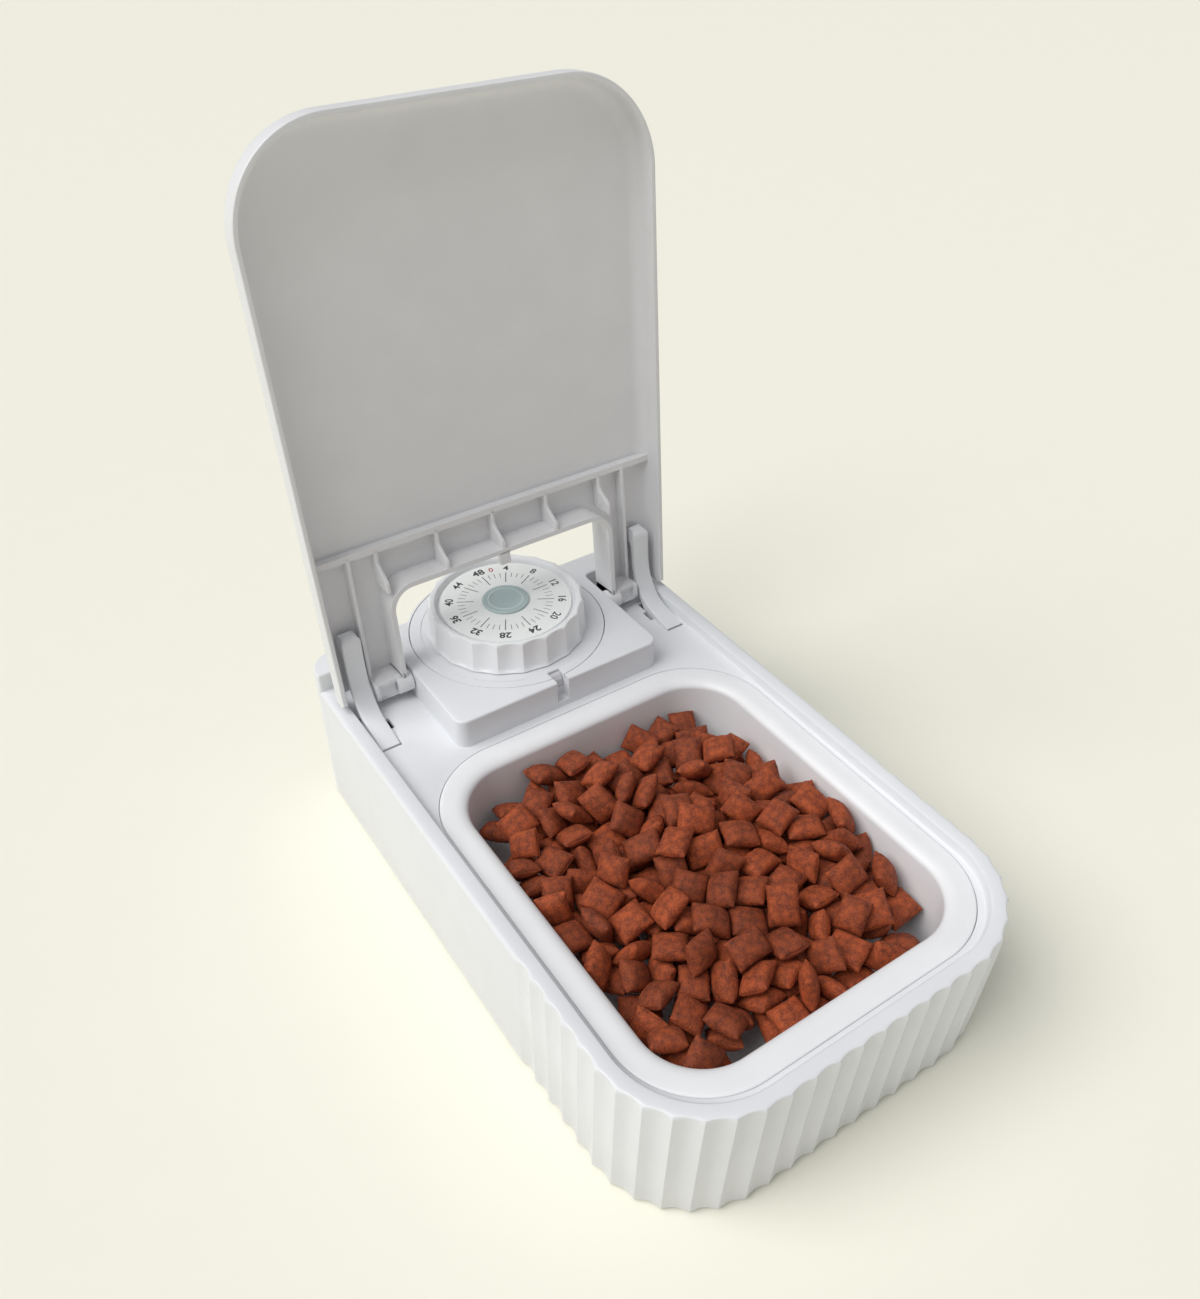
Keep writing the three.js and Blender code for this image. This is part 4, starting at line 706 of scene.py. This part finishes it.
def rib_outline(front, low):
    """Side view of a rib: low by the cross rib, sweeping forward to front below it."""
    panel, top = LID_DEPTH - 1, CROSS_RIB_Z + 1
    bend, drop, steps = CROSS_RIB_Z - 5, 7.5, 13
    points = [(front, low), (panel, low), (panel, top), (CROSS_RIB_FRONT, top), (CROSS_RIB_FRONT, bend)]
    for i in range(1, steps):
        t = i / steps
        ease = t * t * (3 - 2 * t)
        points.append((CROSS_RIB_FRONT + (front - CROSS_RIB_FRONT) * ease, bend - drop * t))
    points.append((front, bend - drop))
    return points


def side_box(front, back, low, high):
    return [(front, low), (back, low), (back, high), (front, high)]


def lid_leg(word, side):
    """One leg of the lid: two walls, a shelf, the pocket's floor, the sole and the hinge boss."""
    half, wall_half = RIB_WIDTH / 2, CUTOUT_WALL / 2
    centre = side * CHANNEL_RIB_X
    wall = side * (CUTOUT_HALF_WIDTH + wall_half)
    panel, shelf_low, shelf_high, lip_top = LID_DEPTH - 1, 12.2, 14.0, 5.6
    pocket_front, pocket_low, pocket_high = 2.4, 4.3, 13.0
    boss_radius = 4.9
    channel = side_box(CHANNEL_RIB_FRONT, panel, 10.0, CROSS_RIB_Z + 1)
    lid_side_prism(f"channel_rib_{word}", channel, centre - half, centre + half)
    outer_wall = leg_side_outline(0.0, shelf_high)
    lid_side_prism(f"leg_outer_wall_{word}", outer_wall, centre - half, centre + half)
    lid_side_prism(f"leg_inner_wall_{word}", leg_side_outline(0.0, HINGE_UP + 6), wall - wall_half,
                   wall + wall_half, 0.5)
    inner, outer = sorted((side * (CUTOUT_HALF_WIDTH + 1), centre))
    shelf = side_box(1.0, panel, shelf_low, shelf_high)
    lid_side_prism(f"leg_shelf_{word}", shelf, inner, outer, 0.4)
    pocket = side_box(pocket_front, LID_DEPTH - 0.5, pocket_low, pocket_high)
    lid_side_prism(f"leg_pocket_{word}", pocket, inner, outer, 0.4)
    lip = [(y, z) for y, z in outer_wall if z < lip_top] + [(LID_DEPTH - 0.1, lip_top)]
    lid_side_prism(f"leg_sole_{word}", lip, inner, outer, 0.2)
    boss = arc(HINGE_BACK, HINGE_UP, boss_radius, 0, 2 * math.pi, 40)[:-1]
    near, far = sorted((side * (PLATEAU_HALF_WIDTH + 0.5), side * (CUTOUT_HALF_WIDTH + 5)))
    lid_side_prism(f"hinge_boss_{word}", boss, near, far, 0.5)


def lid_ribs():
    lid_prism("cutout_surround", surround_outline(), 0.0, LID_DEPTH - 0.05, edge=0.8)
    end, low, high = CROSS_RIB_HALF_LENGTH, CROSS_RIB_Z, CROSS_RIB_Z + CROSS_RIB_WIDTH
    lid_prism("cross_rib", [(-end, low), (end, low), (end, high), (-end, high)], CROSS_RIB_FRONT,
              LID_DEPTH - LID_WALL + 0.1)
    half = RIB_WIDTH / 2
    for i, x in enumerate(RIB_PLACES):
        lid_side_prism(f"cutout_rib_{i + 1}", rib_outline(0.1, CUTOUT_TOP + 0.6), x - half, x + half)
    for word, side in (("left", -1), ("right", 1)):
        lid_leg(word, side)
    half, top, chamfer = TAB_HALF_WIDTH, CUTOUT_TOP + 1, 0.6
    tab = [(-half, TAB_TIP + chamfer), (-half + chamfer, TAB_TIP), (half - chamfer, TAB_TIP),
           (half, TAB_TIP + chamfer), (half, top), (-half, top)]
    lid_prism("hook_tab", tab, 0.0, TAB_DEPTH, edge=0.3, both=True)


# ---- lift arms ------------------------------------------------------------------------------

def spline_point(t, a, b, c, d):
    return tuple(0.5 * (2 * q + (r - p) * t + (2 * p - 5 * q + 4 * r - s) * t * t
                        + (3 * q - p - 3 * r + s) * t ** 3) for p, q, r, s in zip(a, b, c, d))


def smooth_line(points, steps=6):
    """A curve through the points, by Catmull-Rom spans."""
    ends = [points[0], *points, points[-1]]
    spans = zip(ends, ends[1:], ends[2:], ends[3:])
    line = [spline_point(i / steps, *span) for span in spans for i in range(steps)]
    return line + [points[-1]]


# Side view of an arm in y and z: its front edge upwards, the corners of its hooked head as
# centre and radius, and its back edge downwards.
ARM_FRONT = ((225.2, 0.1), (232, 1.6), (240, 3), (245, 5.2), (249, 9), (252.4, 14.4), (254.2, 21),
             (255, 30), (255.3, 36.8))
ARM_HEAD = ((258.4, 36.8, 3.0), (260.8, 38.0, 1.8), (261.2, 34.2, 1.4))
ARM_BACK = ((259.4, 32.4), (258.1, 30), (257.4, 26), (256.6, 18.4), (254.4, 11.8), (250.6, 5.8),
            (246.6, 0.8), (244.4, -4), (239.4, -7))


def arm_outline():
    turn = math.pi / 2
    crown, rear, tip = ARM_HEAD
    head = arc(*crown, math.pi, turn, 8)[1:] + arc(*rear, turn, 0, 6) + arc(*tip, 0, -turn, 6)
    hub = arc(ARM_PIVOT_Y, ARM_PIVOT_Z, ARM_HUB_RADIUS, -1.2, -math.pi, 10)
    return [(ARM_FRONT[0][0], -2.2)] + smooth_line(ARM_FRONT) + head + smooth_line(ARM_BACK) + hub


def arm_width(z):
    """Share of the arm's half width at a height: its top corners are rounded in the front view too."""
    half = (ARM_OUTER_X - ARM_INNER_X) / 2
    above = max(0.0, min(z - (ARM_TOP - ARM_CORNER), ARM_CORNER))
    return (half - ARM_CORNER + math.sqrt(ARM_CORNER ** 2 - above ** 2)) / half


def lift_arms():
    middle = (ARM_OUTER_X + ARM_INNER_X) / 2
    for word, side in (("left", -1), ("right", 1)):
        low, high = sorted((side * ARM_INNER_X, side * ARM_OUTER_X))
        centre = side * middle
        piece = prism(f"arm_{word}", arm_outline(), low, high, WHITE, f"lift_arm_{word}",
                      axis="x", edge=0.9, both=True, steps=4,
                      place=lambda x, y, z, c=centre: (c + (x - c) * arm_width(z), y, z))
        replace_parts(piece, f"lift_arm_{word}")


# ---- dial -----------------------------------------------------------------------------------

PLATE_BOTTOM = 11.9
ARROW_RADIUS, ARROW_WIDTH, ARROW_HEAD = 41.4, 1.3, 3.0
ARROW_START, ARROW_END, ARROW_TIP = math.radians(250), math.radians(20), math.radians(9)


def on_dial(radius, angle):
    return radius * math.cos(angle), DIAL_Y + radius * math.sin(angle)


def cover_plate():
    edge_y = DIAL_Y - math.sqrt(PLATE_RADIUS ** 2 - NOTCH_HALF_WIDTH ** 2)
    start = math.atan2(edge_y - DIAL_Y, NOTCH_HALF_WIDTH)
    outline = arc(0, DIAL_Y, PLATE_RADIUS, start, start + 2 * math.pi - 2 * (start + math.pi / 2), 180)
    outline += [(-NOTCH_HALF_WIDTH, NOTCH_REAR_Y), (NOTCH_HALF_WIDTH, NOTCH_REAR_Y)]
    piece = prism("cover_plate", outline, PLATE_BOTTOM, RAISED_TOP, WHITE, "housing",
                  edge=0.25, both=False)
    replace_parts(piece, "timer_cover_plate")


def turn_arrow():
    """The raised arrow round the dial that shows which way it turns."""
    start, end, half = ARROW_START, ARROW_END, ARROW_WIDTH / 2
    foot = RAISED_TOP - 0.3
    band = arc(0, DIAL_Y, ARROW_RADIUS + half, end, start, 90)
    band += arc(0, DIAL_Y, ARROW_RADIUS - half, start, end, 90)
    prism("turn_arrow_shaft", band, foot, RAISED_TOP + 0.35, WHITE, "housing", edge=0.15,
          both=False)
    head = [on_dial(ARROW_RADIUS + ARROW_HEAD, end), on_dial(ARROW_RADIUS - ARROW_HEAD, end),
            on_dial(ARROW_RADIUS, end - ARROW_TIP)]
    prism("turn_arrow_head", head, foot, RAISED_TOP + 0.4, WHITE, "housing", edge=0.15,
          both=False)


def knob_ring(radius, z, flute, steps=10):
    ring = []
    for i in range(KNOB_FLUTES * steps):
        angle = 2 * math.pi * i / (KNOB_FLUTES * steps)
        r = radius - KNOB_FLUTE_DEPTH * flute * math.sin(math.pi * (i % steps) / steps)
        ring.append((r * math.cos(angle), DIAL_Y + r * math.sin(angle), z))
    return ring


# The knob from its underside, up the outside and down inside: radius, height, share of the
# flutes' depth.
KNOB_ROWS = (
    (6.0, KNOB_BOTTOM, 0.0), (37.6, KNOB_BOTTOM, 0.35), (37.9, KNOB_BOTTOM + 0.3, 0.5),
    (37.3, KNOB_BOTTOM + 1.2, 0.8), (37.0, KNOB_BOTTOM + 2.6, 1.0), (36.5, KNOB_TOP - 1.4, 1.0),
    (36.35, KNOB_TOP - 0.8, 0.9), (35.9, KNOB_TOP - 0.25, 0.6), (35.3, KNOB_TOP, 0.3),
    (34.6, KNOB_TOP, 0.0), (33.6, KNOB_TOP, 0.0), (33.1, KNOB_TOP - 0.2, 0.0), (32.8, KNOB_TOP - 0.6, 0.0),
    (32.3, FACE_TOP - 0.3, 0.0), (32.2, FACE_TOP - 1.5, 0.0), (31.9, FACE_TOP - 1.7, 0.0),
    (6.0, FACE_TOP - 1.7, 0.0),
)
FACE_ROWS = (
    (3.0, FACE_TOP - 1.6), (FACE_RADIUS - 0.2, FACE_TOP - 1.6), (FACE_RADIUS, FACE_TOP - 1.4),
    (FACE_RADIUS, FACE_TOP - 0.15), (FACE_RADIUS - 0.15, FACE_TOP), (3.0, FACE_TOP),
)


def knob():
    points, faces = loft([knob_ring(radius, z, flute) for radius, z, flute in KNOB_ROWS])
    mesh = mesh_from("knob_ring", points, faces)
    piece = finish_mesh("knob_ring", mesh, KNOB_WHITE, "dial", 26)
    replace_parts(piece, "dial_knob")


def dial_face():
    points, faces = turned(FACE_ROWS)
    piece = finish_mesh("face_disc", mesh_from("face_disc", points, faces), FACE_WHITE, "dial")
    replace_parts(piece, "dial_face")


def dial_ticks():
    """A mark for each hour and a long one at each number, printed 0.02 mm proud of the face."""
    points, faces = [], []
    long_tick, short_tick = (14.8, 22.6, 0.2), (18.9, 22.4, 0.13)
    for i in range(DIAL_HOURS):
        angle = 2 * math.pi * i / DIAL_HOURS
        inner, outer, half = long_tick if i % HOURS_A_NUMBER == 0 else short_tick
        along = Vector((math.sin(angle), math.cos(angle), 0))
        across = Vector((along.y, -along.x, 0))
        first = len(points)
        for height in (FACE_TOP - 0.05, FACE_TOP + 0.02):
            for r, s in ((inner, -half), (outer, -half), (outer, half), (inner, half)):
                p = along * r + across * s
                points.append((p.x, DIAL_Y + p.y, height))
        faces += [tuple(first + k for k in quad) for quad in
                  ((3, 2, 1, 0), (4, 5, 6, 7), (0, 1, 5, 4), (1, 2, 6, 5), (2, 3, 7, 6), (3, 0, 4, 7))]
    finish_mesh("dial_ticks", mesh_from("dial_ticks", points, faces), INK, "dial")


def printed(text, size, radius, degrees, material, name, weight):
    """A number with its foot towards the dial's centre; degrees run clockwise from the back."""
    curve = bpy.data.curves.new(name, "FONT")
    curve.body = text
    curve.size = size * MM
    curve.align_x = "CENTER"
    curve.align_y = "CENTER"
    curve.extrude = 0.03 * MM
    curve.offset = weight * MM
    curve.resolution_u = 3
    holder = bpy.data.objects.new(name, curve)
    bpy.context.scene.collection.objects.link(holder)
    graph = bpy.context.evaluated_depsgraph_get()
    mesh = bpy.data.meshes.new_from_object(holder.evaluated_get(graph))
    bpy.data.objects.remove(holder)
    angle = math.radians(degrees)
    place = at(radius * math.sin(angle), DIAL_Y + radius * math.cos(angle), FACE_TOP)
    mesh.transform(Matrix.Translation(place) @ Matrix.Rotation(-angle, 4, "Z"))
    mesh.materials.clear()
    return finish_mesh(name, mesh, material, "dial")


def dial_numbers():
    count = DIAL_HOURS // HOURS_A_NUMBER
    apart = 360 // count
    for i in range(count):
        hours = HOURS_A_NUMBER * (i + 1)
        size = 5.9 if hours == DIAL_HOURS else 5.4
        weight = 0.16 if hours in (24, 28, 32, 36, 48) else 0.08
        printed(str(hours), size, 26.2, apart * i + DIAL_TURN, INK, f"number_{hours}", weight)
    printed("0", 4.6, 26.0, apart * (count - 1) + 14 + DIAL_TURN, RED_INK, "number_0", 0.06)


def hub():
    top, rim = HUB_TOP, HUB_RADIUS
    profile = [(2.0, FACE_TOP + 0.05), (rim - 0.3, FACE_TOP + 0.05), (rim, FACE_TOP + 0.35),
               (rim, top - 0.35), (rim - 0.12, top - 0.12), (rim - 0.45, top), (8.4, top),
               (8.0, top - 0.05), (7.2, top - 0.3), (4.0, top - 0.42), (0.5, top - 0.45)]
    points, faces = turned(profile)
    button = mesh_from("hub_button", points, faces)
    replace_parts(finish_mesh("hub_button", button, HUB_GREY, "dial", 50), "hub_cap")
    # The cap's thin raised ring is real geometry; its paler colour is a painted highlight.
    points, faces = turned([(7.5, top - 0.3), (7.6, top + 0.02), (8.3, top + 0.06), (8.6, top - 0.05)])
    finish_mesh("hub_ring", mesh_from("hub_ring", points, faces[:-2]), HUB_RING_PAINTED_HIGHLIGHT, "dial", 50)


# ---- food, which is set dressing and not part of the feeder -----------------------------------

def pillow_mesh(name, rng):
    """A pillow of baked food: a puffed tube pinched flat and cut at both ends."""
    length = rng.uniform(13.4, 16.0)
    width = rng.uniform(11.6, 13.8) if rng.random() < 0.7 else rng.uniform(8.2, 9.6)
    thick = rng.uniform(7.0, 8.6)
    along, around = 14, 22
    rings = []
    bend = rng.uniform(-0.5, 0.5)
    for i in range(along + 1):
        u = 2 * i / along - 1
        swell = max(0.0, 1 - abs(u) ** 2.7) ** 0.62
        half = 0.75 + (thick / 2 - 0.75) * swell
        wide = width / 2 * (0.97 - 0.04 * swell)
        ring = []
        for j in range(around):
            angle = 2 * math.pi * j / around
            c, d = math.cos(angle), math.sin(angle)
            grow = 1 + rng.uniform(-0.022, 0.022)
            y = wide * grow * math.copysign(abs(c) ** 0.72, c)
            z = half * grow * math.copysign(abs(d) ** 0.9, d) + bend * u * u
            ring.append((u * length / 2 + rng.uniform(-0.12, 0.12), y, z))
        rings.append(ring)
    points, faces = loft(rings)
    mesh = bpy.data.meshes.new(name)
    mesh.from_pydata([Vector(p) * MM for p in points], [], faces)
    for polygon in mesh.polygons:
        polygon.use_smooth = len(polygon.vertices) == 4
    return mesh


FOOD_COUNT, FOOD_KINDS, SIM_SCALE, SIM_FRAMES = 232, 12, 100.0, 120
DROP_COLUMNS, DROP_ROWS, DROP_SPACING, DROP_LAYER, DROP_START = 5, 7, 22.0, 17.0, -12
# The bowl's inside as a tray for the drop: inset and height, with a high fence on top.
TRAY_ROWS = ((16.0, -24.0), (LIP_WIDTH + 1.4, -12.0), (LIP_WIDTH + 0.6, 2.0), (LIP_WIDTH + 0.6, 90.0))
SIM_GRAVITY = -40.0  # weaker for its size than the real one, so the pieces settle calmly


def drop_tray(middle_y):
    points, faces = loft([bowl_ring(inset, z, 6) for inset, z in TRAY_ROWS])
    mesh = bpy.data.meshes.new("tray")
    scale = SIM_SCALE * MM
    mesh.from_pydata([Vector((x, y - middle_y, z)) * scale for x, y, z in points], [], faces[:-1])
    tray = bpy.data.objects.new("tray", mesh)
    bpy.context.scene.collection.objects.link(tray)
    return tray


def add_bodies(objects, kind):
    bpy.ops.object.select_all(action="DESELECT")
    for item in objects:
        item.select_set(True)
    bpy.context.view_layer.objects.active = objects[0]
    bpy.ops.rigidbody.objects_add(type=kind)
    return [item.rigid_body for item in objects]


def drop_food(rng):
    """Where each piece comes to rest: a rigid body drop at 100 times size, so small sizes behave."""
    scene = bpy.context.scene
    kinds = []
    for i in range(FOOD_KINDS):
        mesh = pillow_mesh(f"food_{i + 1}", rng)
        mesh.materials.append(kibble_material() if i == 0 else kinds[0].materials[0])
        kinds.append(mesh)
    sim_meshes = []
    for mesh in kinds:
        big = mesh.copy()
        big.transform(Matrix.Scale(SIM_SCALE, 4))
        sim_meshes.append(big)
    middle_y = (BOWL_FRONT_Y + BOWL_REAR_Y) / 2
    tray = drop_tray(middle_y)
    drops = []
    for i in range(FOOD_COUNT):
        kind = rng.randrange(FOOD_KINDS)
        piece = bpy.data.objects.new(f"drop_{i}", sim_meshes[kind])
        layer, cell = divmod(i, DROP_COLUMNS * DROP_ROWS)
        row, column = divmod(cell, DROP_COLUMNS)
        spread = 1.0 - 0.07 * layer
        x = (column - DROP_COLUMNS // 2) * DROP_SPACING * spread + rng.uniform(-4, 4)
        y = (row - DROP_ROWS // 2) * DROP_SPACING * spread + rng.uniform(-4, 4)
        z = DROP_START + DROP_LAYER * layer + rng.uniform(0, 5)
        piece.location = Vector((x, y, z)) * (SIM_SCALE * MM)
        piece.rotation_euler = [rng.uniform(0, 6.28) for _ in range(3)]
        scene.collection.objects.link(piece)
        drops.append((kind, piece))
    bpy.ops.rigidbody.world_add()
    world = scene.rigidbody_world
    world.substeps_per_frame = 6
    world.solver_iterations = 12
    world.point_cache.frame_end = SIM_FRAMES
    for body in add_bodies([piece for _, piece in drops], "ACTIVE"):
        body.collision_shape = "CONVEX_HULL"
        body.friction = 0.75
        body.restitution = 0.02
        body.linear_damping = 0.1
        body.angular_damping = 0.35
        body.use_margin = True
        body.collision_margin = 0.01
    for body in add_bodies([tray], "PASSIVE"):
        body.collision_shape = "MESH"
        body.friction = 0.6
        body.use_margin = True
        body.collision_margin = 0.02
    gravity = scene.gravity.copy()
    scene.gravity = (0, 0, SIM_GRAVITY)
    for number in range(1, SIM_FRAMES + 1):
        scene.frame_set(number)
    graph = bpy.context.evaluated_depsgraph_get()
    rest = [(kind, piece.evaluated_get(graph).matrix_world.copy()) for kind, piece in drops]
    scene.gravity = gravity
    bpy.ops.rigidbody.world_remove()
    for _, piece in drops:
        bpy.data.objects.remove(piece)
    bpy.data.objects.remove(tray)
    scene.frame_set(1)
    return kinds, rest, middle_y


def food():
    rng = random.Random(11)
    kinds, rest, middle_y = drop_food(rng)
    shrink = 1 / SIM_SCALE
    for i, (kind, pose) in enumerate(rest):
        place = at(0, middle_y, 0) + pose.translation * shrink
        if place.z < at(0, 0, -30).z or place.z > at(0, 0, 40).z:
            continue
        piece = bpy.data.objects.new(f"food_piece_{i}", kinds[kind])
        bpy.context.scene.collection.objects.link(piece)
        piece.matrix_world = Matrix.Translation(place) @ pose.to_quaternion().to_matrix().to_4x4()
        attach(piece, "bowl")


# ---- studio ---------------------------------------------------------------------------------

FLOOR_HALF = 6.0
# Each lamp's name, where it stands, its spread in degrees and its power.
LAMPS = (("key", (-0.62, 0.1, 0.84), 50, 2.3), ("top", (-0.1, -0.2, 1.0), 70, 0.3))


def studio():
    scene = bpy.context.scene
    low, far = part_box("foot_1")[0][2], FLOOR_HALF
    mesh = bpy.data.meshes.new("floor")
    corners = [(-far, -far, low), (far, -far, low), (far, far, low), (-far, far, low)]
    mesh.from_pydata(corners, [], [(0, 1, 2, 3)])
    floor = bpy.data.objects.new("floor", mesh)
    scene.collection.objects.link(floor)
    mesh.materials.append(plastic("backdrop", (0.92, 0.905, 0.785), 0.9, grain=0.0, variation=0.005))
    world = bpy.data.worlds.new("world")
    scene.world = world
    world.use_nodes = True
    sky = world.node_tree.nodes["Background"].inputs
    sky["Color"].default_value = (0.96, 0.97, 1.0, 1)
    sky["Strength"].default_value = 0.28
    for name, direction, spread, power in LAMPS:
        data = bpy.data.lights.new(name, "SUN")
        data.angle = math.radians(spread)
        data.energy = power
        lamp = bpy.data.objects.new(name, data)
        scene.collection.objects.link(lamp)
        lamp.rotation_euler = Vector(direction).to_track_quat("Z", "Y").to_euler()
    scene.view_settings.view_transform = "Standard"


make_camera()
dress_frame()
body_shell()
raised_block()
deck()
bowl_well()
bowl()
lid_shell()
lid_ribs()
lift_arms()
cover_plate()
turn_arrow()
knob()
dial_face()
dial_ticks()
dial_numbers()
hub()
food()
studio()
